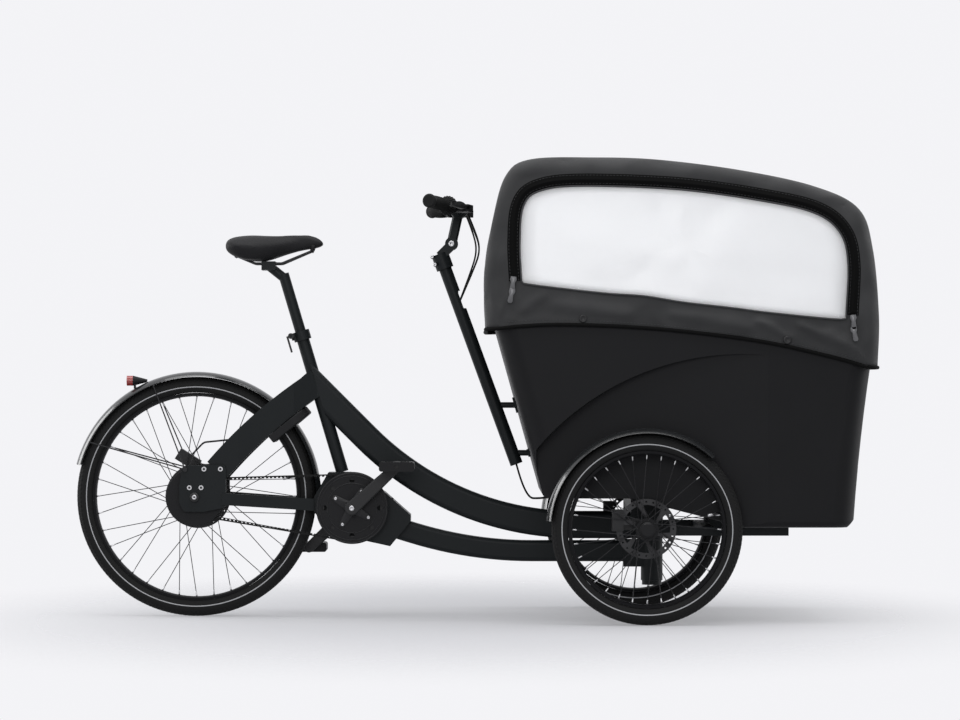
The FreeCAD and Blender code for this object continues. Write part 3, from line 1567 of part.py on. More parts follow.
SADDLE_STATION_SHARES = (0.0, 0.06, 0.22, 0.42, 0.62, 0.82, 0.96, 1.0)
SADDLE_WIDTH_SHARES = (0.62, 0.86, 1.0, 0.82, 0.46, 0.3, 0.24, 0.16)
SADDLE_TOP_SHARES = (0.72, 0.94, 1.0, 0.96, 0.98, 1.08, 0.9, 0.7)
SADDLE_BASE_SHARES = (0.3, 0.0, -0.3, -0.24, 0.1, 0.36, 0.46, 0.5)
SADDLE_SIDE_SHARE = 0.55
sections = []
rise = float(d.saddle_depth)
saddle_base_z = saddle_clamp_z + d.saddle_base_rise
saddle_tail_x = d.saddle_clamp_x - d.saddle_tail_back
saddle_shares = zip(SADDLE_STATION_SHARES, SADDLE_WIDTH_SHARES, SADDLE_TOP_SHARES, SADDLE_BASE_SHARES)
for station, width, top, base in saddle_shares:
    x = float(saddle_tail_x) + station * float(d.saddle_length)
    half = width * float(d.saddle_half)
    high = float(saddle_base_z) + top * rise
    low = float(saddle_base_z) + base * rise
    side = low + (high - low) * SADDLE_SIDE_SHARE
    hem = half * (1 - float(d.saddle_skirt) / float(d.saddle_half))
    cap = Part.Arc(Vector(x, -half, side), Vector(x, 0, high), Vector(x, half, side)).toShape()
    left = Part.LineSegment(Vector(x, half, side), Vector(x, hem, low)).toShape()
    under = Part.LineSegment(Vector(x, hem, low), Vector(x, -hem, low)).toShape()
    right = Part.LineSegment(Vector(x, -hem, low), Vector(x, -half, side)).toShape()
    sections.append(Part.Wire([cap, left, under, right]))
saddle = doc.addObject("Part::Feature", "Saddle")
saddle.Shape = Part.makeLoft(sections, True, False)
SLEEVE_RISE_SHARE = 0.33
sleeve_z = rail_z + d.rail_tail_rise + d.cut_overrun * SLEEVE_RISE_SHARE
sleeves = []
for sign in (-1, 1):
    y = sign * d.rail_half
    sleeves.append(pipe([
        (d.saddle_clamp_x - d.rail_tail_x - d.cut_overrun, y, sleeve_z),
        (d.saddle_clamp_x - d.rail_flat / 2, y, rail_z),
        (d.saddle_clamp_x + d.rail_flat / 2, y, rail_z),
        (d.saddle_clamp_x + d.rail_nose_x, sign * d.rail_nose_half, rail_z + d.rail_nose_rise),
    ], d.rail_radius + d.seat_gap, d.rail_bend))
keep(cut(saddle, *sleeves), "saddle")

# Frame lock

lock = body("Lock")
arc_x = d.lock_outer
lock_pad = pad(lock, outline(sketch(lock, "XY_Plane"), [
    (d.lock_length, -d.lock_outer),
    (arc_x, -d.lock_outer),
    ("via", 0, 0),
    (arc_x, d.lock_outer),
    (d.lock_length, d.lock_outer),
    (d.lock_length, d.lock_inner),
    (arc_x, d.lock_inner),
    ("via", arc_x - d.lock_inner, 0),
    (arc_x, -d.lock_inner),
    (d.lock_length, -d.lock_inner),
]), d.lock_depth)


def lock_rim(edge):
    """Whether an edge runs round the lock's top or bottom face."""
    return abs(edge.CenterOfMass.z) * 2 > float(d.lock_depth - d.seat_gap)


soften(lock, lock_pad, d.bolt_height, lock_rim)
lock_turn = about("z", HALF_TURN).multiply(about("y", d.lock_slope_angle))
keep(place(lock, yoke_top_x - d.lock_back, 0, yoke_top_z - d.lock_drop, lock_turn), "frame_lock")

# Rear light on the mudguard

foot_z = rear_z + rear_guard_radius * sine(d.light_foot_angle)
foot_x = rear_axle_x + rear_guard_radius * cosine(d.light_foot_angle)
light_tail_x = foot_x - d.light_back
light_z = foot_z + d.light_rise
lens_x = light_tail_x + d.lens_length
shell = doc.addObject("Part::Cone", "LightShell")
bind(shell, "Radius1", d.light_radius)
bind(shell, "Radius2", d.light_tip_radius)
bind(shell, "Height", d.light_length - d.lens_length)
place(shell, lens_x, 0, light_z, Rotation(Vector(0, 0, 1), Vector(1, 0, 0)))
stalk = block(d.light_stalk_wall, d.light_stalk_half * 2, d.light_rise,
              lens_x + d.light_stalk_wall, 0, foot_z + d.light_rise / 2)
guard_space = cross_rod(rear_guard_radius + d.seat_gap, rear_axle_x, rear_z,
                        -d.guard_width, d.guard_width)
keep(cut(fuse(shell, stalk), guard_space), "tail_light_housing")
lens = cylinder(d.light_radius, d.lens_length - d.seat_gap, light_tail_x, 0, light_z,
                Rotation(Vector(0, 0, 1), Vector(1, 0, 0)))
keep(lens, "tail_light_lens")

# Rear brake caliper with its hose

tilt = about("y", d.caliper_tilt_angle)
caliper = block(d.caliper_length, d.caliper_half * 2, d.caliper_height,
                rear_axle_x + d.caliper_x, rear_disc_y, rear_z + d.caliper_z, tilt)
ear = block(d.caliper_height / 2, d.yoke_outer - rear_disc_y, d.caliper_height,
            rear_axle_x - d.caliper_lug_x / 2, (d.yoke_outer + rear_disc_y) / 2, rear_z + d.caliper_lug_top)
slot_half = d.disc_wall / 2 + d.caliper_slot
disc_space = cross_rod(d.rear_disc_radius + d.caliper_slot, rear_axle_x, rear_z,
                       rear_disc_y - slot_half, rear_disc_y + slot_half)
caliper = cut(fuse(caliper, ear), disc_space)
hose = pipe([
    (rear_axle_x + d.hose_start_x, d.hose_y, rear_z + d.hose_start_z),
    (rear_axle_x + d.hose_knee_x, d.hose_y, rear_z + d.hose_knee_z),
    (rear_axle_x + d.hose_end_x, d.hose_y, rear_z + d.hose_end_z),
], d.hose_radius, d.hose_bend)
keep(group(caliper, hose), "rear_caliper")

# Cargo box: a moulded shell, drawn from the side, rounded at the upright corners, stepped in over the wheels

rear_rise = d.box_rear_top_z - d.box_floor_z
rear_back = d.box_rear_low_x - d.box_rear_top_x
rear_length = root(rear_rise * rear_rise + rear_back * rear_back)
ramp_fall = d.box_floor_z - d.box_well_z
ramp_run = d.box_well_x - d.box_ramp_x


def rear_wall_x(z):
    """The outside of the box's rear wall at a height."""
    return d.box_rear_low_x - (z - d.box_floor_z) * rear_back / rear_rise


def floor_z(x):
    """The underside of the sloping floor."""
    return d.box_floor_z - (x - d.box_ramp_x) * ramp_fall / ramp_run


UPRIGHT_SHARE = 0.67


def box_form(name, inset, over):
    """The solid inside of the box's outer face moved in by an inset, its top raised by over."""
    shift = inset * rear_length / rear_rise
    owner = body(name)
    shape = pad(owner, outline(sketch(owner, "XZ_Plane"), [
        (rear_wall_x(d.box_rear_top_z + over) + shift, d.box_rear_top_z + over),
        (rear_wall_x(d.box_floor_z + inset) + shift, d.box_floor_z + inset),
        (d.box_ramp_x, d.box_floor_z + inset),
        (d.box_well_x, d.box_well_z + inset),
        (d.box_nose_x - inset, d.box_well_z + inset),
        (d.box_front_low_x - inset, d.box_front_low_z + inset),
        ("via", d.box_front_mid_x - inset, d.box_front_mid_z + inset),
        (d.box_front_top_x - inset, d.box_front_top_z + over),
        ("via", d.box_rim_mid_x, d.box_rim_mid_z + over),
    ]), (d.box_half - inset) * 2)

    def upright(edge):
        """Whether an edge is an upright corner of the box."""
        heights = [vertex.Point.z for vertex in edge.Vertexes]
        return across_y(edge) and max(heights) - min(heights) > float(rear_rise) * UPRIGHT_SHARE

    def low(edge):
        """Whether an edge runs round the floor."""
        high = max(vertex.Point.z for vertex in edge.Vertexes)
        return across_y(edge) and high < float(d.box_floor_z + inset + d.seat_gap)

    corner = soften(owner, shape, d.box_corner - inset, upright)
    soften(owner, corner, d.box_edge - inset, low)
    return owner


def arch(name, inset, sign):
    """The space that a front wheel takes out of one side of the box."""
    owner = body(name)
    tall = d.arch_depth * 2
    pad(owner, outline(sketch(owner, "XZ_Plane"), [
        (d.arch_start_x - inset, d.arch_foot_z),
        (d.arch_start_x - inset, d.arch_start_z + inset),
        ("via", d.arch_mid_x - inset, d.arch_mid_z + inset),
        (d.arch_end_x, d.arch_top_z + inset),
        (d.arch_end_x, d.arch_foot_z),
    ]), tall)
    angle = math.degrees(math.atan2(float(d.arch_depth), float(d.arch_end_x - d.arch_start_x)))
    turn = about("z", sign * angle)
    pivot = Vector(float(d.arch_end_x), sign * float(d.box_half - inset), 0)
    shift = Vector(-float(d.arch_end_x), sign * float(d.arch_depth), 0)
    owner.Placement = Placement(pivot + turn.multVec(shift), turn)
    return owner


no_inset = d.seat_gap * 0
outer_form = box_form("BoxOuter", no_inset, 0)
inner_form = box_form("BoxInner", d.box_wall, d.box_corner)
outer_form = cut(outer_form, arch("Arch", no_inset, -1), arch("Arch", no_inset, 1))
inner_form = cut(inner_form, arch("ArchInner", d.box_wall, -1), arch("ArchInner", d.box_wall, 1))
keep(cut(outer_form, inner_form), "cargo_box")

# Carrier under the box: bridge, cheeks, rails, kingpin and stub axles

bridge = slab("Bridge", [
    (d.carrier_rear_x, d.carrier_bottom),
    (d.carrier_front_x, d.carrier_bottom),
    (d.carrier_front_x, floor_z(d.carrier_front_x) - d.seat_gap),
    (d.carrier_rear_x, d.box_floor_z - d.seat_gap),
], carrier_half * 2)
pieces = [bridge]
for sign in (-1, 1):
    cheek_y = sign * (carrier_half - d.carrier_wall / 2)
    cheek_top = d.carrier_bottom + d.carrier_wall
    pieces.append(block(d.cheek_front_x - d.carrier_rear_x, d.carrier_wall, cheek_top - d.cheek_bottom,
                        (d.cheek_front_x + d.carrier_rear_x) / 2, cheek_y, (cheek_top + d.cheek_bottom) / 2))
    pieces.append(block(d.rail_front_x - d.carrier_rear_x, d.rail_width, d.rail_depth,
                        (d.rail_front_x + d.carrier_rear_x) / 2, sign * (carrier_half - d.rail_width / 2),
                        d.rail_bottom + d.rail_depth / 2))
    boss_end = wheel_plane_y - d.front_hub_inner_end - d.seat_gap
    low, high = sorted((sign * (carrier_half - d.carrier_wall), sign * boss_end), key=float)
    pieces.append(cross_rod(d.stub_boss_radius, d.front_axle_x, front_z, low, high))
    low, high = sorted((sign * boss_end, sign * (wheel_plane_y + d.stub_reach)), key=float)
    pieces.append(cross_rod(d.stub_radius, d.front_axle_x, front_z, low, high))
for tie_x in (d.rail_tie_x, d.rail_front_x - d.rail_tie_length):
    pieces.append(block(d.rail_tie_length, carrier_half * 2, d.rail_depth,
                        tie_x, 0, d.rail_bottom + d.rail_depth / 2))
nut_top = d.head_bottom - d.seat_gap
pieces.append(cylinder(d.kingpin_radius, d.carrier_bottom - nut_top + d.kingpin_nut_height, d.steer_x, 0,
                       nut_top - d.kingpin_nut_height / 2))
pieces.append(cylinder(d.kingpin_nut_radius, d.kingpin_nut_height,
                       d.steer_x, 0, nut_top - d.kingpin_nut_height))
keep(fuse(*pieces), "front_carrier")

# Bench and battery inside the box

seat_low = d.bench_top_z - d.bench_wall
seat_board = block(d.bench_front_x - d.bench_rear_x, bench_half * 2, d.bench_wall,
                   (d.bench_front_x + d.bench_rear_x) / 2, 0, d.bench_top_z - d.bench_wall / 2)
front_low = d.box_floor_z + d.box_wall + d.seat_gap
front_board_x = d.box_ramp_x - d.bench_wall
front_board = block(d.bench_wall, bench_half * 2, seat_low - front_low,
                    front_board_x, 0, (seat_low + front_low) / 2)
keep(fuse(seat_board, front_board), "bench")
battery = body("Battery")
shape = pad(battery, outline(sketch(battery, "XZ_Plane"), [
    (-d.battery_length / 2, 0),
    (d.battery_length / 2, 0),
    (d.battery_length / 2, d.battery_depth),
    (-d.battery_length / 2, d.battery_depth),
]), d.battery_half * 2)
soften(battery, shape, d.battery_corner, along_y)
keep(place(battery, d.battery_x, 0, front_low), "battery")

# Canopy: a fabric hood over the box with clear windows


def canopy_form(name, inset, hollow):
    """The hood's outline moved in by an inset; a hollow one runs on below the hem."""
    owner = body(name)
    over = d.box_corner if hollow else no_inset
    below = [(d.canopy_rear_low_x + inset, d.canopy_rear_low_z - over)] if hollow else []
    front_below = [(d.canopy_front_low_x - inset, d.canopy_front_low_z)] if hollow else []
    pad(owner, outline(sketch(owner, "XZ_Plane"), below + [
        (d.canopy_rear_low_x + inset, d.canopy_rear_low_z),
        ("via", d.canopy_rear_mid_x + inset, d.canopy_rear_mid_z),
        (d.canopy_rear_top_x + inset, d.canopy_rear_top_z - inset),
        (d.canopy_crown_x, d.canopy_crown_z - inset),
        ("via", d.canopy_roof_mid_x, d.canopy_roof_mid_z - inset),
        (d.canopy_roof_front_x - inset / 2, d.canopy_roof_front_z - inset),
        ("via", d.canopy_brow_mid_x - inset, d.canopy_brow_mid_z - inset),
        (d.canopy_brow_x - inset, d.canopy_brow_z),
        (d.canopy_front_x - inset, d.canopy_front_z),
    ] + front_below + [
        (d.canopy_front_low_x - inset, d.canopy_front_low_z - over),
        ("via", d.canopy_hem_mid_x, d.canopy_hem_mid_z - over),
    ]), canopy_hem_half * 2)
    section = body(name + "Section")
    foot = d.canopy_front_low_z - d.box_half
    pad(section, outline(sketch(section, "YZ_Plane"), [
        (-canopy_hem_half + inset, foot),
        (canopy_hem_half - inset, foot),
        (canopy_hem_half - inset, d.canopy_front_z),
        (canopy_shoulder_half - inset, d.canopy_shoulder_z),
        ("via", (canopy_shoulder_half + canopy_roof_half) / 2 + d.canopy_roof_rise / 2 - inset,
         d.canopy_shoulder_z + d.canopy_roof_rise * 2),
        (canopy_roof_half, d.canopy_crown_z - inset),
        (-canopy_roof_half, d.canopy_crown_z - inset),
        ("via", -(canopy_shoulder_half + canopy_roof_half) / 2 - d.canopy_roof_rise / 2 + inset,
         d.canopy_shoulder_z + d.canopy_roof_rise * 2),
        (-canopy_shoulder_half + inset, d.canopy_shoulder_z),
        (-canopy_hem_half + inset, d.canopy_front_z),
    ]), d.canopy_front_x * 2 + d.canopy_crown_z)
    return common(owner, section)


def window_prism(name, inset):
    """The side window's outline through the whole width."""
    return slab(name, [
        (d.window_rear_x + inset, d.window_rear_low_z + inset),
        (d.window_rear_x + inset, d.window_rear_top_z - inset),
        (d.window_top_rear_x + inset, d.window_top_rear_z - inset),
        ("via", d.window_top_mid_x, d.window_top_mid_z - inset),
        (d.window_top_front_x - inset, d.window_top_front_z - inset),
        (d.window_front_x - inset, d.window_front_top_z - inset),
        (d.window_front_x - inset, d.window_front_low_z + inset),
    ], canopy_hem_half * 2 + d.box_corner)


def front_window(inset):
    """A block through the hood's front where its window sits."""
    return block(d.canopy_front_x - d.canopy_split_front_x, (front_window_half - inset) * 2,
                 d.front_window_top - d.front_window_low - inset * 2,
                 (d.canopy_front_x + d.canopy_split_front_x) / 2 + d.canopy_wall, 0,
                 (d.front_window_top + d.front_window_low) / 2)


outer_hood = canopy_form("HoodOuter", no_inset, False)
inner_hood = canopy_form("HoodInner", d.canopy_wall, True)
shell = cut(outer_hood, inner_hood, window_prism("Window", no_inset), front_window(no_inset))
mid_height = (d.canopy_crown_z + d.canopy_front_low_z) / 2
tall = d.canopy_crown_z
wide = canopy_side_half * 2
long = d.canopy_front_x * 2
panels = []
for sign in (-1, 1):
    side_mid = sign * (canopy_side_half + canopy_side_half / 2)
    panels.append(common(shell, block(long, canopy_side_half, tall,
                                      d.canopy_front_x / 2, side_mid, mid_height)))
panels.append(common(shell, block(d.canopy_split_rear_x * 2, wide, tall, 0, 0, mid_height)))
panels.append(common(shell, block(d.canopy_split_front_x - d.canopy_split_rear_x, wide, tall,
                                  (d.canopy_split_front_x + d.canopy_split_rear_x) / 2, 0, mid_height)))
panels.append(common(shell, block(d.canopy_split_rear_x * 2, wide, tall,
                                  d.canopy_split_front_x + d.canopy_split_rear_x, 0, mid_height)))
keep(group(*panels), "canopy")

FILM_OUTER_SHARE = 0.25
FILM_INNER_SHARE = 0.75
film = cut(canopy_form("FilmOuter", d.canopy_wall * FILM_OUTER_SHARE, False),
           canopy_form("FilmInner", d.canopy_wall * FILM_INNER_SHARE, True))
side_film = common(film, window_prism("WindowFilm", d.seat_gap))
front_film = common(film, front_window(d.seat_gap))
keep(group(side_film, front_film), "canopy_windows")

bows = []
for foot_x, top_x, top_z in ((d.rear_bow_foot_x, d.rear_bow_top_x, d.rear_bow_top_z),
                             (d.front_bow_foot_x, d.front_bow_top_x, d.front_bow_top_z)):
    fall = (d.box_rear_top_z - d.box_front_top_z) / (d.box_front_top_x - d.box_rear_top_x)
    foot_z = d.box_rear_top_z - (foot_x - d.box_rear_top_x) * fall - d.bow_foot_drop
    bows.append(pipe([
        (foot_x, -bow_foot_half, foot_z),
        (top_x, -bow_top_half, top_z),
        (top_x, bow_top_half, top_z),
        (foot_x, bow_foot_half, foot_z),
    ], d.bow_radius, d.bow_bend))
keep(group(*bows), "canopy_bows")

# Handlebar post with its two brackets on the box

post_run_x = d.bar_post_top_x - d.bar_post_low_x
post_run_z = d.bar_post_top_z - d.bar_post_low_z
post_length = root(post_run_x * post_run_x + post_run_z * post_run_z)
post_turn = Rotation(Vector(0, 0, 1), Vector(float(post_run_x), 0, float(post_run_z)))


def on_post(z):
    """The middle of the handlebar post at a height."""
    return d.bar_post_low_x + (z - d.bar_post_low_z) * post_run_x / post_run_z


tube = cylinder(d.bar_post_radius, post_length, d.bar_post_low_x, 0, d.bar_post_low_z, post_turn)
wall_turn = about("y", -math.degrees(math.atan2(float(rear_back), float(rear_rise))))
arms = []
for z, height in ((d.bracket_upper_z, d.bracket_upper_height), (d.bracket_lower_z, d.bracket_lower_height)):
    face_x = rear_wall_x(z) - (d.seat_gap + d.bracket_pad / 2) * rear_length / rear_rise
    arms.append(block(d.bracket_pad, d.bracket_half * 2, height, face_x, 0, z, wall_turn))
    arms.append(rod(d.bracket_arm_radius, (on_post(z), 0, z), (face_x, 0, z)))
hollow = cylinder(d.bar_post_radius - d.bar_post_wall, post_length + d.cut_overrun * 2,
                  on_post(d.bar_post_low_z - d.cut_overrun), 0, d.bar_post_low_z - d.cut_overrun, post_turn)
hole_x = on_post(d.cable_hole_z) + d.bar_post_radius / 2
entry = block(d.bar_post_radius * 2, d.cable_entry_width, d.cable_entry_height,
              hole_x + d.bar_post_radius / 2, 0, d.cable_hole_z + d.cable_entry_rise)
keep(cut(fuse(tube, *arms), hollow, entry), "handlebar_post")

# Stem: a collar on the post, a tilting arm, the handlebar

COLLAR_LOW_SHARE = 0.75
SCREW_SHARES = (0.25, 0.75)
LINK_DEPTH_SHARE = 1.5
collar_low = d.bar_post_top_z - d.stem_collar_height * COLLAR_LOW_SHARE
collar = cylinder(d.stem_collar_radius, d.stem_collar_height, on_post(collar_low), 0, collar_low, post_turn)
hole_low = collar_low - d.cut_overrun
hole_length = (d.bar_post_top_z - hole_low) * post_length / post_run_z + d.seat_gap
collar_hole = cylinder(d.bar_post_radius + d.seat_gap, hole_length, on_post(hole_low), 0, hole_low, post_turn)
cheek_half = d.stem_tongue_half + d.seat_gap + d.stem_cheek
pivot_boss = cross_rod(d.stem_boss_radius, d.stem_pivot_x, d.stem_pivot_z, -cheek_half, cheek_half)
link_x = (d.stem_pivot_x + on_post(d.bar_post_top_z)) / 2
link_z = (d.stem_pivot_z + d.bar_post_top_z) / 2 + d.seat_gap
link = block(d.stem_collar_radius * 2, cheek_half * 2, d.stem_boss_radius * LINK_DEPTH_SHARE,
             link_x, 0, link_z, about("y", -d.stem_link_angle))
tongue_space = cross_rod(d.stem_boss_radius + d.stem_cheek, d.stem_pivot_x, d.stem_pivot_z,
                         -d.stem_tongue_half - d.seat_gap, d.stem_tongue_half + d.seat_gap)
pin = cross_rod(d.stem_pin_radius, d.stem_pivot_x, d.stem_pivot_z, -cheek_half, cheek_half)
screws = []
for share in SCREW_SHARES:
    z = collar_low + d.stem_collar_height * share
    x = on_post(z) - d.stem_collar_radius
    screws.append(cross_rod(d.stem_bolt_radius, x, z, -d.stem_collar_radius, d.stem_collar_radius))
keep(fuse(cut(fuse(collar, link, pivot_boss, *screws), collar_hole, tongue_space), pin), "stem_clamp")

boss = cross_rod(d.stem_boss_radius, d.stem_pivot_x, d.stem_pivot_z, -d.stem_tongue_half, d.stem_tongue_half)
web = rod(d.stem_web_half, (d.stem_pivot_x, 0, d.stem_pivot_z), (d.bar_x, 0, d.bar_z))
web = common(web, block(d.bar_z, d.stem_tongue_half * 2, d.bar_z, d.bar_x, 0, d.bar_z))
ring_clamp = cross_rod(d.bar_clamp_radius, d.bar_x, d.bar_z, -d.bar_clamp_radius, d.bar_clamp_radius)
pin_hole = cross_rod(d.stem_pin_radius + d.running_gap, d.stem_pivot_x, d.stem_pivot_z,
                     -cheek_half, cheek_half)
bar_hole = cross_rod(d.bar_centre_radius + d.running_gap, d.bar_x, d.bar_z, -d.bar_half, d.bar_half)
keep(cut(fuse(boss, web, ring_clamp), pin_hole, bar_hole), "stem_arm")

bar_ends = [(d.bar_x - d.bar_sweep, sign * d.bar_half, d.bar_z + d.bar_rise) for sign in (-1, 1)]
bar_knees = [(d.bar_x, sign * d.bar_straight, d.bar_z) for sign in (-1, 1)]
bar = pipe([bar_ends[0], bar_knees[0], bar_knees[1], bar_ends[1]], d.bar_radius, d.bar_bend)
sleeve = cross_rod(d.bar_centre_radius, d.bar_x, d.bar_z, -d.bar_centre_half, d.bar_centre_half)
keep(fuse(bar, sleeve), "handlebar")


def bar_frame(sign, run):
    """A spot on one bar end, run inwards from its tip, and the turn whose Y points outwards along it."""
    tip = Vector(*(float(size) for size in bar_ends[0 if sign < 0 else 1]))
    knee = Vector(*(float(size) for size in bar_knees[0 if sign < 0 else 1]))
    inward = (knee - tip).normalize()
    outward = inward * -1
    down = Vector(0, 0, -1)
    forward = outward.cross(down) if sign < 0 else down.cross(outward)
    turn = Rotation(forward, outward, forward.cross(outward), "XYZ")
    return tip + inward * float(run), turn


def set_on_bar(item, sign, run):
    """Puts a turned piece on one end of the bar."""
    spot, turn = bar_frame(sign, run)
    item.Placement = Placement(spot, turn)
    return item


grips = []
for sign in (-1, 1):
    bore = d.bar_radius + d.running_gap
    grip = turned("Grip", [
        (-d.grip_length, bore),
        (-d.grip_length, d.grip_radius),
        ("via", -d.grip_length / 2, d.grip_radius + d.grip_swell),
        (-d.grip_neck, d.grip_radius),
        (0, d.grip_flare),
        (d.grip_cap, d.grip_flare - d.grip_cap),
        (d.grip_cap, 0),
        (d.seat_gap, 0),
        (d.seat_gap, bore),
    ])
    grips.append(set_on_bar(grip, sign, no_inset))
keep(group(*grips), "grips")

twist = turned("Twist", [
    (0, d.bar_radius + d.running_gap),
    (0, d.grip_radius),
    (-d.twist_length / 2, d.twist_radius),
    (-d.twist_shoulder, d.twist_flare),
    (-d.twist_length, d.twist_flare),
    (-d.twist_length, d.bar_radius + d.running_gap),
])
twist_run = d.grip_length + d.seat_gap
keep(set_on_bar(twist, -1, twist_run), "twist_shifter")

# Brake levers on their perches

perch_run = d.grip_length + d.twist_length + d.seat_gap * 2 + d.perch_length / 2
perches = []
cable_tops = {}
for side, sign in (("right", -1), ("left", 1)):
    spot, turn = bar_frame(sign, perch_run)

    def local(x, y, z):
        """A place given along the perch's own axes."""
        return spot + turn.multVec(Vector(float(x), float(y), float(z)))

    up = 1 if turn.multVec(Vector(0, 0, 1)).z > 0 else -1
    drop = -up * d.perch_drop
    collar = turned("PerchRing", [
        (-d.perch_length / 2, d.bar_radius + d.running_gap),
        (-d.perch_length / 2, d.perch_radius),
        (d.perch_length / 2, d.perch_radius),
        (d.perch_length / 2, d.bar_radius + d.running_gap),
    ])
    collar.Placement = Placement(spot, turn)
    reach_mid = d.bar_radius + d.perch_reach / 2 + d.hose_radius
    centre = local(reach_mid, -(d.perch_width - d.perch_length) / 2, drop / 2)
    cable_tops[sign] = local(reach_mid, -d.perch_width + d.perch_length / 2 - d.cable_seat_gap, drop / 2)
    arm = block(d.perch_reach, d.perch_width, d.perch_depth, centre.x, centre.y, centre.z, turn)
    clear = turned("PerchBore", [
        (-d.perch_width, 0),
        (-d.perch_width, d.bar_radius + d.running_gap),
        (d.perch_width, d.bar_radius + d.running_gap),
        (d.perch_width, 0),
    ])
    clear.Placement = Placement(spot, turn)
    pivot_u = d.bar_radius + d.lever_pivot_reach
    fork = local(pivot_u, d.perch_width / 2 - d.lever_boss_radius - d.seat_gap, drop / 2)
    fork_space = block(d.perch_reach, d.perch_width, d.lever_fork + d.seat_gap * 2,
                       fork.x, fork.y, fork.z, turn)
    pin_at = local(pivot_u, 0, drop / 2 - d.perch_depth / 2 + d.seat_gap)
    pin = cylinder(d.lever_pin_radius / 2, d.perch_depth - d.seat_gap * 2, pin_at.x, pin_at.y, pin_at.z, turn)
    perches.append(fuse(cut(fuse(collar, arm), clear, fork_space), pin))
    lever_owner = body("BrakeLever")
    pad(lever_owner, outline(sketch(lever_owner, "XY_Plane"), [
        (-d.lever_boss_radius, 0),
        ("via", 0, -d.lever_boss_radius),
        (d.lever_boss_radius, 0),
        ("via", d.lever_boss_radius - d.lever_hook / 2, d.lever_dip_reach),
        (d.lever_boss_radius, d.lever_reach),
        ("via", d.lever_boss_radius - d.lever_blade / 2, d.lever_reach + d.lever_blade / 2),
        (d.lever_boss_radius - d.lever_blade, d.lever_reach),
        ("via", -d.lever_hook / 2, d.lever_dip_reach),
    ]), d.lever_fork)
    pocket(lever_owner, ring(sketch(lever_owner, "XY_Plane"), d.lever_pin_radius / 2 + d.running_gap))
    middle = local(pivot_u, 0, drop / 2)
    lever_owner.Placement = Placement(middle, turn)
    keep(lever_owner, f"brake_lever_{side}")
keep(group(*perches), "lever_perches")

# Cables from the levers into the post, and out of its foot under the box

cables = []
hole_front = on_post(d.cable_hole_z)
clamp_face = d.bar_clamp_radius + d.cable_radius + d.seat_gap
cable_tops[0] = Vector(float(d.bar_x + clamp_face * cosine(d.cable_top_angle)), 0,
                       float(d.bar_z - clamp_face * sine(d.cable_top_angle)))
for sign, top in cable_tops.items():
    cables.append(pipe([
        (top.x, top.y, top.z),
        (d.cable_loop_x + abs(sign) * d.cable_spread, sign * d.cable_spread * 2, d.cable_loop_z),
        (hole_front, sign * d.cable_spread / 2, d.cable_hole_z),
    ], d.cable_radius, d.cable_bend))
for sign in (-1, 1):
    cables.append(pipe([
        (on_post(d.bar_post_low_z + d.cut_overrun), sign * d.loop_half, d.bar_post_low_z + d.cut_overrun),
        (d.loop_low_x, sign * d.loop_half, d.loop_low_z),
        (d.box_rear_low_x, sign * d.loop_half, d.box_floor_z - d.loop_drop),
        (d.loop_end_x, sign * d.loop_half * 2, d.box_floor_z - d.loop_radius - d.seat_gap),
    ], d.loop_radius, d.loop_bend))
keep(group(*cables), "control_cables")

# Front brake calipers on the stub bosses

calipers = []
for sign in (-1, 1):
    y = sign * (wheel_plane_y - d.front_disc_in)
    shape = block(d.front_caliper_height, d.front_caliper_half * 2, d.front_caliper_length,
                  d.front_axle_x - d.front_caliper_x, y, front_z + d.front_caliper_z)
    slot = cross_rod(d.front_disc_radius + d.caliper_slot, d.front_axle_x, front_z,
                     y - slot_half, y + slot_half)
    arm_y = y - sign * (d.front_caliper_half + d.front_caliper_arm / 2 - d.seat_gap)
    arm_end = d.front_caliper_x + d.front_caliper_height / 2
    arm = block(arm_end - d.stub_boss_radius, d.front_caliper_arm, d.front_caliper_height,
                d.front_axle_x - (arm_end + d.stub_boss_radius) / 2, arm_y, front_z + d.front_caliper_z / 2)
    calipers.append(fuse(cut(shape, slot), arm))
keep(group(*calipers), "front_calipers")

# Checks and files

doc.recompute()
for item in doc.Objects:
    if any(word in item.State for word in ("Invalid", "Error")):
        raise RuntimeError(f"{item.Label} was not built: {item.State}")
os.makedirs("parts", exist_ok=True)
for item in PARTS:
    shape = item.Shape
    if shape.isNull() or not shape.isValid() or not shape.Solids:
        raise RuntimeError(f"{item.Label} is not a valid solid")
    shape.exportStep(f"parts/{item.Label}.step")
print(len(PARTS), "pieces written")
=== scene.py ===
# %% [markdown]
# # A cargo tricycle in a pale studio
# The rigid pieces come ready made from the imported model, and this script dresses them: it gives every piece
# its finish, makes the soft hood, the saddle, the tyres and the cables anew, adds small hardware, and sets the
# light and the camera. Loading the model first means that every later step can ask it for sizes.

# %% Load the model and note its size
import json
import math

import bmesh
import bpy
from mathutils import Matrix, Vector, noise


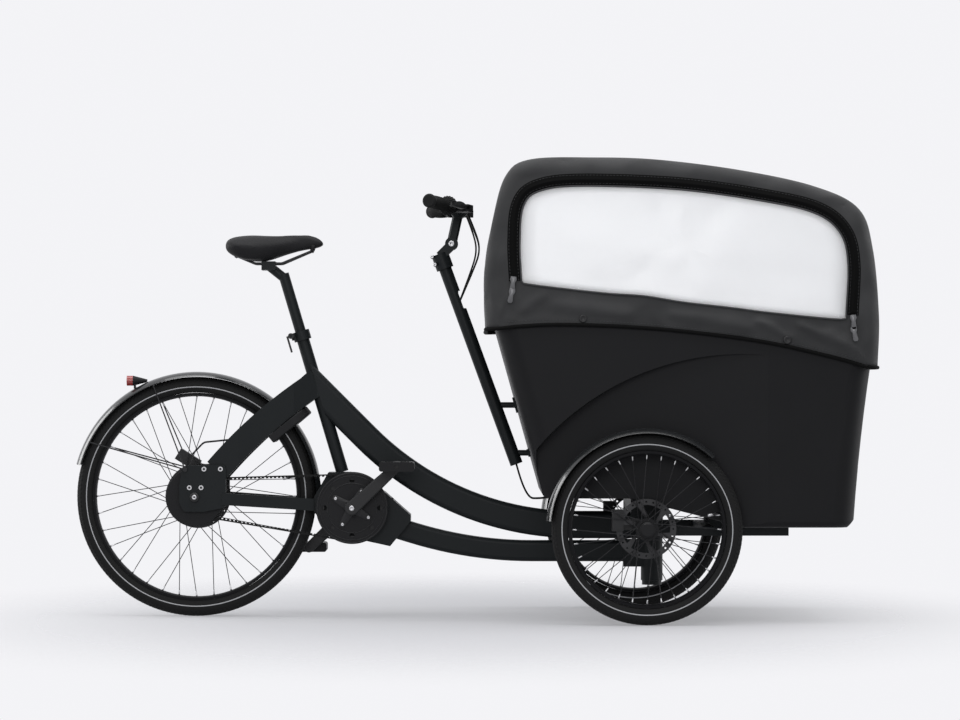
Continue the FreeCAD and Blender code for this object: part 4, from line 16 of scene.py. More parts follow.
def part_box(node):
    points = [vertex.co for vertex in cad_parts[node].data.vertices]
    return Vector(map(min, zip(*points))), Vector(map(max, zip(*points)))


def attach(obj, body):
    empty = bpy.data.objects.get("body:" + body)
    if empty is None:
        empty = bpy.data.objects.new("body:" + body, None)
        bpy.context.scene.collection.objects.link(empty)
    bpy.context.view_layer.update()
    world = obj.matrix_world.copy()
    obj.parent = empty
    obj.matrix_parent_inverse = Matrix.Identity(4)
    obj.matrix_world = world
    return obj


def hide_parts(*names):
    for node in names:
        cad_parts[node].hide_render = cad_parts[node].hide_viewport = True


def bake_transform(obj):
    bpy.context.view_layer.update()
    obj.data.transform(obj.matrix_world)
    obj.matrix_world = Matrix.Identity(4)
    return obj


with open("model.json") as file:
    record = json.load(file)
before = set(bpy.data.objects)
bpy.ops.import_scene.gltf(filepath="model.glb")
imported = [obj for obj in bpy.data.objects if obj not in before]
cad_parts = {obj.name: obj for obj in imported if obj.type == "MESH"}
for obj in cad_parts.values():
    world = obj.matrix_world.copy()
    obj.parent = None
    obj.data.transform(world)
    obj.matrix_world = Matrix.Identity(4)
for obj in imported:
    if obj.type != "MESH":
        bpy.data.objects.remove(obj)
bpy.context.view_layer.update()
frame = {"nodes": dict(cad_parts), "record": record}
nodes = frame["nodes"]
scene = bpy.context.scene

# %% [markdown]
# ## Camera
# A long lens far away keeps the two front wheels almost in line, as a product photographer does for a vehicle.
# The camera stands at the rider's right, at hip height, and looks up by a hair, so the horizon falls a little
# under the middle of the picture.

# %% Camera
PICTURE_WIDTH = 960
FOCAL_PIXELS = 3548
HORIZON_DROP = 24
SENSOR_WIDTH = 36
CAMERA_SPOT = (0.024, -9.8, 0.64)
camera_data = bpy.data.cameras.new("Camera")
camera_data.sensor_width = SENSOR_WIDTH
camera_data.lens = SENSOR_WIDTH * FOCAL_PIXELS / PICTURE_WIDTH
camera = bpy.data.objects.new("Camera", camera_data)
camera.location = CAMERA_SPOT
camera.rotation_euler = (math.pi / 2 + math.atan2(HORIZON_DROP, FOCAL_PIXELS), 0, 0)
scene.collection.objects.link(camera)
scene.camera = camera
scene.view_settings.view_transform = "Standard"
print("lens", round(camera_data.lens, 1))

# %% [markdown]
# ## Studio
# The photo's room is a pale sweep. A real sweep would need a curved wall; here the floor fades out into the
# background colour, which camera, glossy and transmitted rays see, so the object itself gets plain light.

# %% Helpers for node trees


def tree_of(owner):
    """An empty node tree."""
    owner.use_nodes = True
    owner.node_tree.nodes.clear()
    return owner.node_tree


def add(tree, kind, **values):
    """A node of a kind; values set its input sockets by name, or else its properties."""
    node = tree.nodes.new(kind)
    for name, value in values.items():
        label = name.replace("_", " ").title()
        if label in node.inputs:
            node.inputs[label].default_value = value
        else:
            setattr(node, name, value)
    return node


def wire(tree, *links):
    """Links sockets; each link gives a node, its output, the next node and its input."""
    for start, output, end, entry in links:
        tree.links.new(start.outputs[output], end.inputs[entry])


def blank_finish(name, specular=0.5, **values):
    """A material with one Principled shader; returns the material, its tree and the shader."""
    material = bpy.data.materials.new(name)
    tree = tree_of(material)
    shader = add(tree, "ShaderNodeBsdfPrincipled", **values)
    shader.inputs["Specular IOR Level"].default_value = specular
    wire(tree, (shader, 0, add(tree, "ShaderNodeOutputMaterial"), "Surface"))
    return material, tree, shader


# %% World: pale for the eye, softer for the light
BACKDROP = (0.90, 0.90, 0.925, 1)
FILL_LIGHT = (0.92, 0.95, 1.0, 1)
FILL_STRENGTH = 0.42
scene.world = bpy.data.worlds.new("Studio")
tree = tree_of(scene.world)
path = add(tree, "ShaderNodeLightPath")
seen = add(tree, "ShaderNodeMath", operation="MAXIMUM")
seen_through = add(tree, "ShaderNodeMath", operation="MAXIMUM")
backdrop = add(tree, "ShaderNodeBackground", color=BACKDROP, strength=1)
fill = add(tree, "ShaderNodeBackground", color=FILL_LIGHT, strength=FILL_STRENGTH)
mix = add(tree, "ShaderNodeMixShader")
out = add(tree, "ShaderNodeOutputWorld")
wire(tree, (path, "Is Camera Ray", seen, 0), (path, "Is Glossy Ray", seen, 1), (seen, 0, seen_through, 0),
     (path, "Is Transmission Ray", seen_through, 1), (seen_through, 0, mix, 0), (fill, 0, mix, 1),
     (backdrop, 0, mix, 2), (mix, 0, out, "Surface"))
print("world", scene.world.name)

# %% Floor that fades into the backdrop
FLOOR_REACH = 14
FLOOR_CELLS = 8
FLOOR_HALF_LENGTH = 1.75
FLOOR_HALF_WIDTH = 2.4
FLOOR_PLAIN_SHARE = 0.3
FLOOR_COLOUR = (0.36, 0.36, 0.375, 1)
FLOOR_GLOW = 0.26
FLOOR_ROUGHNESS = 0.9
bpy.ops.mesh.primitive_grid_add(x_subdivisions=FLOOR_CELLS, y_subdivisions=FLOOR_CELLS, size=FLOOR_REACH * 2)
floor = bpy.context.object
floor.name = "studio_floor"
floor_finish, tree, paper = blank_finish("floor_paper", base_color=FLOOR_COLOUR, roughness=FLOOR_ROUGHNESS,
                                         emission_color=BACKDROP, emission_strength=FLOOR_GLOW)
place = add(tree, "ShaderNodeTexCoord")
oval = add(tree, "ShaderNodeVectorMath", operation="MULTIPLY")
oval.inputs[1].default_value = (1 / FLOOR_HALF_LENGTH, 1 / FLOOR_HALF_WIDTH, 0)
length = add(tree, "ShaderNodeVectorMath", operation="LENGTH")
fade = add(tree, "ShaderNodeMapRange", interpolation_type="SMOOTHSTEP", from_min=FLOOR_PLAIN_SHARE)
clear = add(tree, "ShaderNodeBsdfTransparent")
mix = add(tree, "ShaderNodeMixShader")
out = tree.nodes["Material Output"]
wire(tree, (place, "Object", oval, 0), (oval, 0, length, 0), (length, "Value", fade, "Value"),
     (fade, 0, mix, 0), (paper, 0, mix, 1), (clear, 0, mix, 2), (mix, 0, out, "Surface"))
floor.data.materials.append(floor_finish)
print("floor", FLOOR_REACH * 2)

# %% Lamps: one wide softbox overhead, two upright ones behind the ends, a weak one in front
LAMPS = (
    ("Overhead", (0.1, -0.6, 4.2), (0.1, 0, 0.4), 4.6, 3.0, 120),
    ("RearEdge", (-4.0, 0.9, 1.7), (-0.2, 0, 0.7), 1.4, 2.6, 60),
    ("FrontEdge", (4.2, 0.7, 1.6), (0.7, 0, 0.6), 1.4, 2.6, 50),
    ("Front", (-0.6, -5.5, 2.4), (0.1, 0, 0.5), 3.2, 2.0, 55),
)
for name, spot, aim, wide, tall, power in LAMPS:
    lamp = bpy.data.lights.new(name, "AREA")
    lamp.shape = "RECTANGLE"
    lamp.size = wide
    lamp.size_y = tall
    lamp.energy = power
    holder = bpy.data.objects.new(name, lamp)
    holder.location = spot
    holder.rotation_euler = (Vector(aim) - Vector(spot)).to_track_quat("-Z", "Y").to_euler()
    scene.collection.objects.link(holder)
print("lamps", len(LAMPS))

# %% [markdown]
# ## Shared surface effects
# Nearly every finish on this vehicle is black, so what tells them apart is texture: powder coat has a fine
# orange peel, moulded plastic a leather grain, hood cloth a weave, rubber a dull bloom. Each effect is a node
# group with its own inputs, built once and placed where it is needed.

# %% A small kit for node groups
FLOAT = "NodeSocketFloat"
COLOUR = "NodeSocketColor"


def effect(name, inputs, outputs):
    """A node group; returns its tree, its input and output nodes, and the surface's own coordinates."""
    group = bpy.data.node_groups.new(name, "ShaderNodeTree")
    for label, default in inputs.items():
        kind = COLOUR if isinstance(default, tuple) else FLOAT
        group.interface.new_socket(label, in_out="INPUT", socket_type=kind).default_value = default
    for label, kind in outputs.items():
        group.interface.new_socket(label, in_out="OUTPUT", socket_type=kind)
    print("effect", name)
    return (group, add(group, "NodeGroupInput"), add(group, "NodeGroupOutput"),
            add(group, "ShaderNodeTexCoord"))


# %% Grain: two sizes of noise give an uneven height, a tint and a roughness
grain, given, result, spot = effect(
    "SurfaceGrain",
    {"Colour": (0.02, 0.02, 0.02, 1), "Light Colour": (0.03, 0.03, 0.03, 1), "Grain Scale": 900.0,
     "Cloud Scale": 9.0, "Smoothest": 0.35, "Roughest": 0.5},
    {"Colour": COLOUR, "Roughness": FLOAT, "Height": FLOAT})
fine = add(grain, "ShaderNodeTexNoise", detail=2)
cloud = add(grain, "ShaderNodeTexNoise", detail=4)
tint = add(grain, "ShaderNodeMix", data_type="RGBA")
gloss = add(grain, "ShaderNodeMapRange")
wire(grain, (spot, "Object", fine, "Vector"), (given, "Grain Scale", fine, "Scale"),
     (spot, "Object", cloud, "Vector"), (given, "Cloud Scale", cloud, "Scale"),
     (cloud, 0, tint, "Factor"), (given, "Colour", tint, "A"), (given, "Light Colour", tint, "B"),
     (cloud, 0, gloss, "Value"), (given, "Smoothest", gloss, "To Min"), (given, "Roughest", gloss, "To Max"),
     (tint, "Result", result, "Colour"), (gloss, 0, result, "Roughness"), (fine, 0, result, "Height"))

# %% Weave: two crossed wave bands, for coated cloth
weave, given, result, spot = effect("ClothWeave", {"Thread Count": 900.0}, {"Height": FLOAT})
parts = add(weave, "ShaderNodeSeparateXYZ")
cross = add(weave, "ShaderNodeMath", operation="MULTIPLY")
wire(weave, (spot, "Object", parts, 0), (cross, 0, result, "Height"))
for place, axis in enumerate("XZ"):
    total = add(weave, "ShaderNodeMath", operation="ADD")
    turns = add(weave, "ShaderNodeMath", operation="MULTIPLY")
    wave = add(weave, "ShaderNodeMath", operation="SINE")
    wire(weave, (parts, axis, total, 0), (parts, "Y", total, 1), (total, 0, turns, 0),
         (given, "Thread Count", turns, 1), (turns, 0, wave, 0), (wave, 0, cross, place))

# %% Creases: warped cells with flat faces, like coated cloth that was folded away
creases, given, result, spot = effect(
    "ClothCreases", {"Cell Scale": 11.0, "Warp Scale": 6.0, "Warp": 0.09}, {"Height": FLOAT})
drift = add(creases, "ShaderNodeTexNoise", detail=2)
shift = add(creases, "ShaderNodeVectorMath", operation="SCALE")
moved = add(creases, "ShaderNodeVectorMath", operation="ADD")
cells = add(creases, "ShaderNodeTexVoronoi", feature="SMOOTH_F1")
wire(creases, (spot, "Object", drift, "Vector"), (given, "Warp Scale", drift, "Scale"),
     (drift, "Color", shift, 0), (given, "Warp", shift, "Scale"), (spot, "Object", moved, 0),
     (shift, 0, moved, 1), (moved, 0, cells, "Vector"), (given, "Cell Scale", cells, "Scale"),
     (cells, "Distance", result, "Height"))

# %% Wheel zone: a mask that is one beyond a radius round a crossways axle
zone, given, result, spot = effect(
    "BeyondRadius", {"Centre X": 0.0, "Centre Z": 0.0, "Radius": 0.1}, {"Mask": FLOAT})
parts = add(zone, "ShaderNodeSeparateXYZ")
flat = add(zone, "ShaderNodeCombineXYZ")
reach = add(zone, "ShaderNodeVectorMath", operation="LENGTH")
beyond = add(zone, "ShaderNodeMath", operation="GREATER_THAN")
wire(zone, (spot, "Object", parts, 0), (flat, 0, reach, 0), (reach, "Value", beyond, 0),
     (given, "Radius", beyond, 1), (beyond, 0, result, "Mask"))
for axis in "XZ":
    shift = add(zone, "ShaderNodeMath", operation="SUBTRACT")
    wire(zone, (parts, axis, shift, 0), (given, f"Centre {axis}", shift, 1), (shift, 0, flat, axis))

# %% [markdown]
# ## Finishes
# One function makes a finish from the grain effect: colours, grain scale and a roughness span. The values are
# read against the photo: powder coat is a blue-black, plastics are neutral, the mudguards show a soft shine. In
# so pale a room a black surface mirrors a lot of white, so the specular level of each black is kept low.

# %% A finish from the grain effect
GRAIN_DEPTH = 0.0004
LOW_SPECULAR = 0.14


def grain_on(tree, colour, light, scale, span, **values):
    """The grain effect in a material, with its own colours, scale and roughness span."""
    return add(tree, "ShaderNodeGroup", node_tree=grain, colour=(*colour, 1), light_colour=(*light, 1),
               grain_scale=scale, smoothest=span[0], roughest=span[1], **values)


def finish(name, colour, light, scale, span, bump, specular=LOW_SPECULAR, **values):
    """A material whose colour, roughness and relief come from the grain effect."""
    material, tree, shader = blank_finish(name, specular, **values)
    surface = grain_on(tree, colour, light, scale, span)
    relief = add(tree, "ShaderNodeBump", strength=bump, distance=GRAIN_DEPTH)
    wire(tree, (surface, "Height", relief, "Height"), (surface, "Colour", shader, "Base Color"),
         (surface, "Roughness", shader, "Roughness"), (relief, 0, shader, "Normal"))
    return material


# A line gives name, dark and light colour, grain scale, roughness span, relief and, if set, specular level.
powder_coat = finish("powder_coat", (0.009, 0.011, 0.012), (0.012, 0.014, 0.015), 1400, (0.34, 0.44), 0.25)
black_alloy = finish("black_alloy", (0.010, 0.010, 0.011), (0.016, 0.016, 0.017), 2200, (0.3, 0.42), 0.15, 0.3)
moulded_box = finish("moulded_box", (0.010, 0.010, 0.011), (0.013, 0.013, 0.014), 1100, (0.42, 0.5), 0.35, 0.1)
housing = finish("housing_plastic", (0.010, 0.010, 0.011), (0.015, 0.015, 0.016), 1800, (0.42, 0.56), 0.3)
guard_skin = finish("mudguard_skin", (0.012, 0.013, 0.014), (0.016, 0.017, 0.018), 1500, (0.2, 0.28), 0.12, 0.5,
                    coat_weight=0.5)
tyre_rubber = finish("tyre_rubber", (0.010, 0.010, 0.010), (0.015, 0.015, 0.015), 700, (0.62, 0.8), 0.4)
soft_rubber = finish("soft_rubber", (0.009, 0.009, 0.009), (0.013, 0.013, 0.013), 1200, (0.6, 0.75), 0.35)
dark_spoke = finish("dark_spoke", (0.02, 0.02, 0.021), (0.035, 0.035, 0.037), 2500, (0.3, 0.4), 0.1,
                    metallic=0.6)
bare_steel = finish("bare_steel", (0.42, 0.42, 0.43), (0.55, 0.55, 0.56), 2600, (0.26, 0.4), 0.1,
                    metallic=1.0)
disc_steel = finish("disc_steel", (0.03, 0.03, 0.031), (0.06, 0.06, 0.062), 2600, (0.3, 0.42), 0.2,
                    metallic=1.0)
rim_coat = finish("rim_coat", (0.007, 0.007, 0.008), (0.010, 0.010, 0.011), 2200, (0.4, 0.5), 0.15, 0.08)
dark_board = finish("dark_board", (0.016, 0.016, 0.017), (0.024, 0.024, 0.025), 500, (0.5, 0.62), 0.3)
pale_stripe = finish("pale_stripe", (0.44, 0.44, 0.45), (0.54, 0.54, 0.55), 1800, (0.38, 0.5), 0.1)
saddle_skin = finish("saddle_skin", (0.010, 0.010, 0.011), (0.015, 0.015, 0.016), 650, (0.46, 0.58), 0.6)
zip_tape = finish("zip_tape", (0.004, 0.004, 0.004), (0.006, 0.006, 0.006), 1600, (0.7, 0.85), 0.4, 0.05)
hem_tape = finish("hem_tape", (0.004, 0.004, 0.004), (0.006, 0.006, 0.006), 1600, (0.6, 0.75), 0.3, 0.05)
zip_metal = finish("zip_metal", (0.10, 0.10, 0.104), (0.17, 0.17, 0.175), 2400, (0.3, 0.42), 0.15, 0.4,
                   metallic=0.7)
stitch_thread = finish("stitch_thread", (0.075, 0.075, 0.078), (0.10, 0.10, 0.104), 3000, (0.6, 0.75), 0.3)
trim_vinyl = finish("trim_vinyl", (0.05, 0.05, 0.052), (0.07, 0.07, 0.072), 900, (0.4, 0.5), 0.2)
red_lens = finish("red_lens", (0.30, 0.012, 0.01), (0.38, 0.02, 0.014), 300, (0.1, 0.16), 0.1, 0.5,
                  coat_weight=0.6)
print("finishes", len(bpy.data.materials))

# %% Front hubs: black alloy in the middle, steel on the brake disc
FRONT_AXLE = Vector((0.467, 0.385, 0.254))
HUB_FLANGE_RADIUS = 0.0315
HUB_SCALE = 2400
HUB_SPAN = (0.3, 0.42)
hub_finish, tree, shader = blank_finish("hub_and_disc", LOW_SPECULAR)
disc = add(tree, "ShaderNodeGroup", node_tree=zone, centre_x=FRONT_AXLE.x, centre_z=FRONT_AXLE.z,
           radius=HUB_FLANGE_RADIUS)
alloy = grain_on(tree, (0.010, 0.010, 0.011), (0.016, 0.016, 0.017), HUB_SCALE, HUB_SPAN)
steel = grain_on(tree, (0.03, 0.03, 0.031), (0.06, 0.06, 0.062), HUB_SCALE, HUB_SPAN)
tint = add(tree, "ShaderNodeMix", data_type="RGBA")
wire(tree, (disc, "Mask", tint, "Factor"), (alloy, "Colour", tint, "A"), (steel, "Colour", tint, "B"),
     (tint, "Result", shader, "Base Color"), (disc, "Mask", shader, "Metallic"),
     (alloy, "Roughness", shader, "Roughness"))
print("finish", hub_finish.name)

# %% Hood cloth: coated weave with creases, with painted light in its tint
hood_cloth, tree, shader = blank_finish("hood_cloth", specular=0.15, sheen_weight=0.1, sheen_roughness=0.5)
# The tint's wide span from dark to light is partly uneven tone of the coating and partly painted light: its
# pale and dark patches stand in for lit and shaded wrinkles.
surface = grain_on(tree, (0.029, 0.029, 0.030), (0.057, 0.057, 0.058), scale=900, span=(0.56, 0.68),
                   cloud_scale=5.0)
threads = add(tree, "ShaderNodeGroup", node_tree=weave, thread_count=4200.0)
folded = add(tree, "ShaderNodeGroup", node_tree=creases)
crumple = add(tree, "ShaderNodeBump", strength=0.6, distance=0.035)
relief = add(tree, "ShaderNodeBump", strength=0.25, distance=0.0004)
wire(tree, (folded, "Height", crumple, "Height"), (crumple, 0, relief, "Normal"),
     (threads, "Height", relief, "Height"), (surface, "Colour", shader, "Base Color"),
     (surface, "Roughness", shader, "Roughness"), (relief, 0, shader, "Normal"))
print("finish", hood_cloth.name)

# %% Milky film: most of the light scatters, a share passes through, and a painted glow lights it from within
FILM_BEND = 1.2
FILM_CLEAR_SHARE = 0.25
FILM_PAINTED_GLOW = 0.12
FILM_ROUGHNESS = 0.5
FILM_COLOUR = (0.95, 0.95, 0.96, 1)
WHITE = (1, 1, 1, 1)
# The emission is a painted glow: the film sends out white light of its own, though it is no lamp, so that it
# looks white.
window_film, tree, shader = blank_finish(
    "window_film", base_color=FILM_COLOUR, roughness=FILM_ROUGHNESS, coat_weight=0.4, coat_roughness=0.12,
    transmission_weight=FILM_CLEAR_SHARE, emission_color=WHITE, emission_strength=FILM_PAINTED_GLOW)
shader.inputs["IOR"].default_value = FILM_BEND
ripple = add(tree, "ShaderNodeTexNoise", scale=7, detail=2)
relief = add(tree, "ShaderNodeBump", strength=0.2, distance=0.004)
wire(tree, (ripple, 0, relief, "Height"), (relief, 0, shader, "Normal"))
print("finish", window_film.name)

# %% [markdown]
# ## Dress the rigid pieces
# The record already says which slot each node takes its finish from, so a table from slot to material dresses
# them all, and a few nodes then get a finish of their own.

# %% Slot to finish
SLOT_FINISH = {
    "frame_paint": powder_coat, "dark_plastic": housing, "rubber": soft_rubber, "tyre_rubber": tyre_rubber,
    "rim_paint": black_alloy, "spoke_steel": dark_spoke, "bright_steel": bare_steel,
    "guard_plastic": guard_skin, "box_plastic": moulded_box, "bench_board": dark_board,
    "hood_fabric": hood_cloth, "window_film": window_film, "saddle_cover": saddle_skin, "red_lens": red_lens,
}
NODE_FINISH = {"rear_disc": disc_steel, "front_hub_right": hub_finish, "front_hub_left": hub_finish,
               "rear_rim": rim_coat, "front_rim_right": rim_coat, "front_rim_left": rim_coat}
for entry in frame["record"]["subparts"]:
    piece = nodes[entry["node"]]
    piece.data.materials.clear()
    piece.data.materials.append(NODE_FINISH.get(entry["node"], SLOT_FINISH[entry["material_slot"]]))

# %% [markdown]
# ## Helpers for new pieces
# New pieces are meshes made from grids of points. A form collects points and faces, so that one piece can hold
# many small shapes, and it is then handed to the body that it rides on.

# %% Pieces and forms


def new_piece(name, form, material, body):
    """A mesh piece made from a form's points and faces, which rides on a body."""
    mesh = bpy.data.meshes.new(name)
    mesh.from_pydata([tuple(point) for point in form[0]], [], form[1])
    mesh.validate()
    shape = bmesh.new()
    shape.from_mesh(mesh)
    bmesh.ops.recalc_face_normals(shape, faces=shape.faces)
    shape.to_mesh(mesh)
    shape.free()
    for polygon in mesh.polygons:
        polygon.use_smooth = True
    mesh.materials.append(material)
    piece = bpy.data.objects.new(name, mesh)
    scene.collection.objects.link(piece)
    if body:
        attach(piece, body)
    return piece


def thicken(piece, wall):
    """Gives a sheet its thickness, inwards."""
    piece.modifiers.new("Thickness", "SOLIDIFY").thickness = wall


def put(form, points, faces):
    """Adds points, and the faces between them, to a form."""
    start = len(form[0])
    form[0].extend(points)
    form[1].extend(tuple(start + corner for corner in face) for face in faces)


def grid_faces(rows, columns, closed_rows=False, closed_columns=False):
    """Faces that join a rows by columns grid of points, listed row by row."""
    faces = []
    for row in range(rows if closed_rows else rows - 1):
        for column in range(columns if closed_columns else columns - 1):
            below = (row + 1) % rows
            beside = (column + 1) % columns
            faces.append((row * columns + column, row * columns + beside,
                          below * columns + beside, below * columns + column))
    return faces


def put_rings(form, points, count):
    """Adds rings of count points each, joined in a row and closed at both ends."""
    total = len(points)
    faces = grid_faces(total // count, count, closed_columns=True)
    put(form, points, faces + [tuple(range(count)), tuple(range(total - count, total))])


# %% Curves, turned shapes, rods and plates
PATH_STEPS = 24
EDGE_EASE = 0.0008


def smooth_path(corners, count):
    """Evenly spaced points on a Catmull-Rom curve through the corners."""
    corners = [Vector(corner) for corner in corners]
    ends = [corners[0] * 2 - corners[1]] + corners + [corners[-1] * 2 - corners[-2]]
    dense = []
    for a, b, c, e in zip(ends, ends[1:], ends[2:], ends[3:]):
        for step in range(PATH_STEPS):
            t = step / PATH_STEPS
            dense.append((b * 2 + (c - a) * t + (a * 2 - b * 5 + c * 4 - e) * t ** 2
                          + (b * 3 - a - c * 3 + e) * t ** 3) / 2)
    dense.append(corners[-1])
    lengths = [0.0]
    for a, b in zip(dense, dense[1:]):
        lengths.append(lengths[-1] + (b - a).length)
    points = []
    place = 0
    for index in range(count):
        want = lengths[-1] * index / (count - 1)
        while place < len(dense) - 2 and lengths[place + 1] < want:
            place += 1
        gap = lengths[place + 1] - lengths[place]
        share = 0 if gap == 0 else (want - lengths[place]) / gap
        points.append(dense[place].lerp(dense[place + 1], share))
    return points


def circle(centre, side, up, radius, count):
    """Points round a centre, in the plane of two directions."""
    turns = [math.tau * step / count for step in range(count)]
    return [centre + (side * math.cos(turn) + up * math.sin(turn)) * radius for turn in turns]


def across_axis(axis):
    """Two directions at right angles to an axis and to each other."""
    side = axis.orthogonal().normalized()
    return side, axis.cross(side)


def lathe(form, profile, centre, axis, count):
    """Spins (along, radius) points round an axis."""
    axis = Vector(axis).normalized()
    side, up = across_axis(axis)
    points = []
    for along, radius in profile:
        points += circle(Vector(centre) + axis * along, side, up, radius, count)
    put_rings(form, points, count)


def tube(form, path, radii, sides):
    """A round rod along a path; radii is one radius, or has one for each point."""
    if isinstance(radii, float):
        radii = [radii] * len(path)
    points = []
    up = Vector((0, 0, 1))
    for index, spot in enumerate(path):
        along = (path[min(index + 1, len(path) - 1)] - path[max(index - 1, 0)]).normalized()
        if index == 0 and abs(along.dot(up)) > 0.9:
            up = Vector((0, 1, 0))
        up = (up - along * up.dot(along)).normalized()
        points += circle(spot, along.cross(up), up, radii[index], sides)
    put_rings(form, points, sides)


def plate(form, outline, low, high):
    """A flat plate in a side plane, from y low to y high, with its edges eased; outline is (x, z) points."""
    middle = Vector((sum(x for x, z in outline), 0, sum(z for x, z in outline))) / len(outline)
    points = []
    for y, inset in ((low, EDGE_EASE), (low + EDGE_EASE, 0), (high - EDGE_EASE, 0), (high, EDGE_EASE)):
        for x, z in outline:
            spot = Vector((x, 0, z))
            spot -= (spot - middle).normalized() * inset
            points.append(Vector((spot.x, y, spot.z)))
    put_rings(form, points, len(outline))


# Later cells read the places of the loaded pieces, so these are brought up to date.
bpy.context.view_layer.update()
print("loaded pieces", len(nodes))

# %% [markdown]
# ## Hood
# The hood is one sewn sheet: two sides with large windows, joined by a strip that runs up the back, over the
# roof and down the front. It could be draped by simulation, but a hood stretched on bows keeps its pattern, so
# it is drawn: each side is a ring of rows between the window and the outline, and the strip crosses from one
# outline to the other with a round shoulder. Waves, folds and a sag between the bows keep it soft.

# %% Hood outlines, in the side view
HOOD_TOP = ((0.040, 0.786), (0.036, 0.936), (0.060, 1.09), (0.094, 1.200), (0.160, 1.242), (0.33, 1.247),
            (0.500, 1.241), (0.72, 1.213), (0.917, 1.170), (1.036, 1.110), (1.074, 1.000), (1.089, 0.820),
            (1.085, 0.684))
HOOD_HEM = ((0.96, 0.712), (0.78, 0.752), (0.567, 0.780), (0.40, 0.793), (0.24, 0.798), (0.14, 0.794))
WINDOW_TOP = ((0.134, 0.915), (0.130, 1.02), (0.140, 1.115), (0.185, 1.155), (0.30, 1.168), (0.560, 1.158),
              (0.80, 1.124), (0.924, 1.092), (0.985, 1.04), (1.004, 0.96), (0.998, 0.824))
WINDOW_SILL = ((0.998, 0.824), (0.980, 0.812), (0.80, 0.829), (0.69, 0.843), (0.567, 0.857), (0.46, 0.874),
               (0.35, 0.882), (0.155, 0.905), (0.134, 0.915))
TOP_COUNT = 150
SILL_COUNT = 76


def in_side_view(outline):
    """An outline's (x, z) points as places in the vehicle's middle plane."""
    return [Vector((x, 0, z)) for x, z in outline]


hood_top = smooth_path(in_side_view(HOOD_TOP), TOP_COUNT)
window_top = smooth_path(in_side_view(WINDOW_TOP), TOP_COUNT)
window_ring = window_top + smooth_path(in_side_view(WINDOW_SILL), SILL_COUNT)[1:-1]
window_middle = sum(window_ring, Vector()) / len(window_ring)
ring_count = len(window_ring)
print("hood points", TOP_COUNT + SILL_COUNT)

# %% Where cloth lies: the side's lean, the round shoulder and the sag
HEM_HALF = 0.3643
SHOULDER_HALF = 0.344
LEAN_START = 0.82
SHOULDER_HEIGHT = 1.15
ROOF_ROUND = 0.042
END_ROUND = 0.032
BOW_STATIONS = (0.158, 0.962)
ROOF_SAG = 0.004


def clamp(share):
    """A share, kept from 0 to 1."""
    return min(max(share, 0), 1)


def side_half(z):
    """Half the hood's width at a height."""
    share = clamp((z - LEAN_START) / (SHOULDER_HEIGHT - LEAN_START))
    return HEM_HALF + (SHOULDER_HALF - HEM_HALF) * share


def on_side(point, sign, lift, inset=0):
    """A place on the hood's right (-1) or left (1) side, set in from the cloth or lifted off it."""
    return Vector((point.x, sign * (side_half(point.z) - inset + lift), point.z))


def run_of(line, index):
    """The way a line runs at one of its points."""
    return (line[min(index + 1, len(line) - 1)] - line[max(index - 1, 0)]).normalized()


def inward(index):
    """The direction from the outline to the hood's inside, in the side view."""
    along = run_of(hood_top, index)
    return Vector((along.z, 0, -along.x))


def round_at(index):
    """The shoulder's radius: wide along the roof, tight at both ends."""
    return ROOF_ROUND + (END_ROUND - ROOF_ROUND) * abs(inward(index).x)


def roof_sag(point):
    """How far the roof sinks between the bows."""
    share = (point.x - BOW_STATIONS[0]) / (BOW_STATIONS[1] - BOW_STATIONS[0])
    return ROOF_SAG * math.sin(math.pi * clamp(share))


# %% Waves everywhere, and folds that run from the corners and the bows
# A fold is two (x, z) ends, a height and a width.
FOLDS = (
    (0.055, 0.815, 0.110, 0.880, 0.0100, 0.013), (0.070, 0.870, 0.135, 0.812, -0.0080, 0.014),
    (0.048, 0.900, 0.085, 0.985, 0.0075, 0.014), (0.110, 0.815, 0.190, 0.880, 0.0085, 0.014),
    (0.230, 0.850, 0.420, 0.826, 0.0065, 0.018), (0.540, 0.826, 0.740, 0.790, 0.0075, 0.016),
    (0.770, 0.806, 0.850, 0.768, 0.0105, 0.013), (0.835, 0.795, 0.925, 0.735, -0.0090, 0.015),
    (0.880, 0.798, 0.985, 0.748, 0.0110, 0.013), (0.960, 0.782, 1.035, 0.712, 0.0105, 0.013),
    (1.016, 0.850, 1.046, 0.760, -0.0080, 0.012), (1.030, 0.960, 1.054, 0.860, 0.0080, 0.013),
    (0.075, 1.060, 0.110, 1.160, 0.0075, 0.014), (0.960, 1.128, 1.030, 1.060, 0.0075, 0.013),
)
BROAD_WAVE = 0.0055
BROAD_SCALE = (5.5, 3.5, 6.5)
NARROW_WAVE = 0.0024
NARROW_SCALE = (15, 9, 13)
NARROW_START = (7, 0, 0)
CLOTH_SINK = 0.003
EDGE_CALM = 3
TAPE_WIDTH = 0.034


def cloth_wave(point):
    """A small uneven lift, the same on each run."""
    broad = [place * scale for place, scale in zip(point, BROAD_SCALE)]
    narrow = [place * scale + start for place, scale, start in zip(point, NARROW_SCALE, NARROW_START)]
    return noise.noise(Vector(broad)) * BROAD_WAVE + noise.noise(Vector(narrow)) * NARROW_WAVE


def fold_lift(x, z):
    """The lift of all folds at a place on the hood's side."""
    lift = 0
    for x0, z0, x1, z1, height, width in FOLDS:
        run = Vector((x1 - x0, z1 - z0))
        offset = Vector((x - x0, z - z0))
        away = (offset - run * clamp(offset.dot(run) / run.length_squared)).length
        lift += height * math.exp(-(away / width) ** 2)
    return lift


def tape_gap(point):
    """How far a place on the hood's side is from the window's zip, as a share from 0, under it, to 1."""
    near = min((spot - point).length_squared for spot in window_top[::2])
    return clamp((math.sqrt(near) - TAPE_WIDTH) / TAPE_WIDTH)


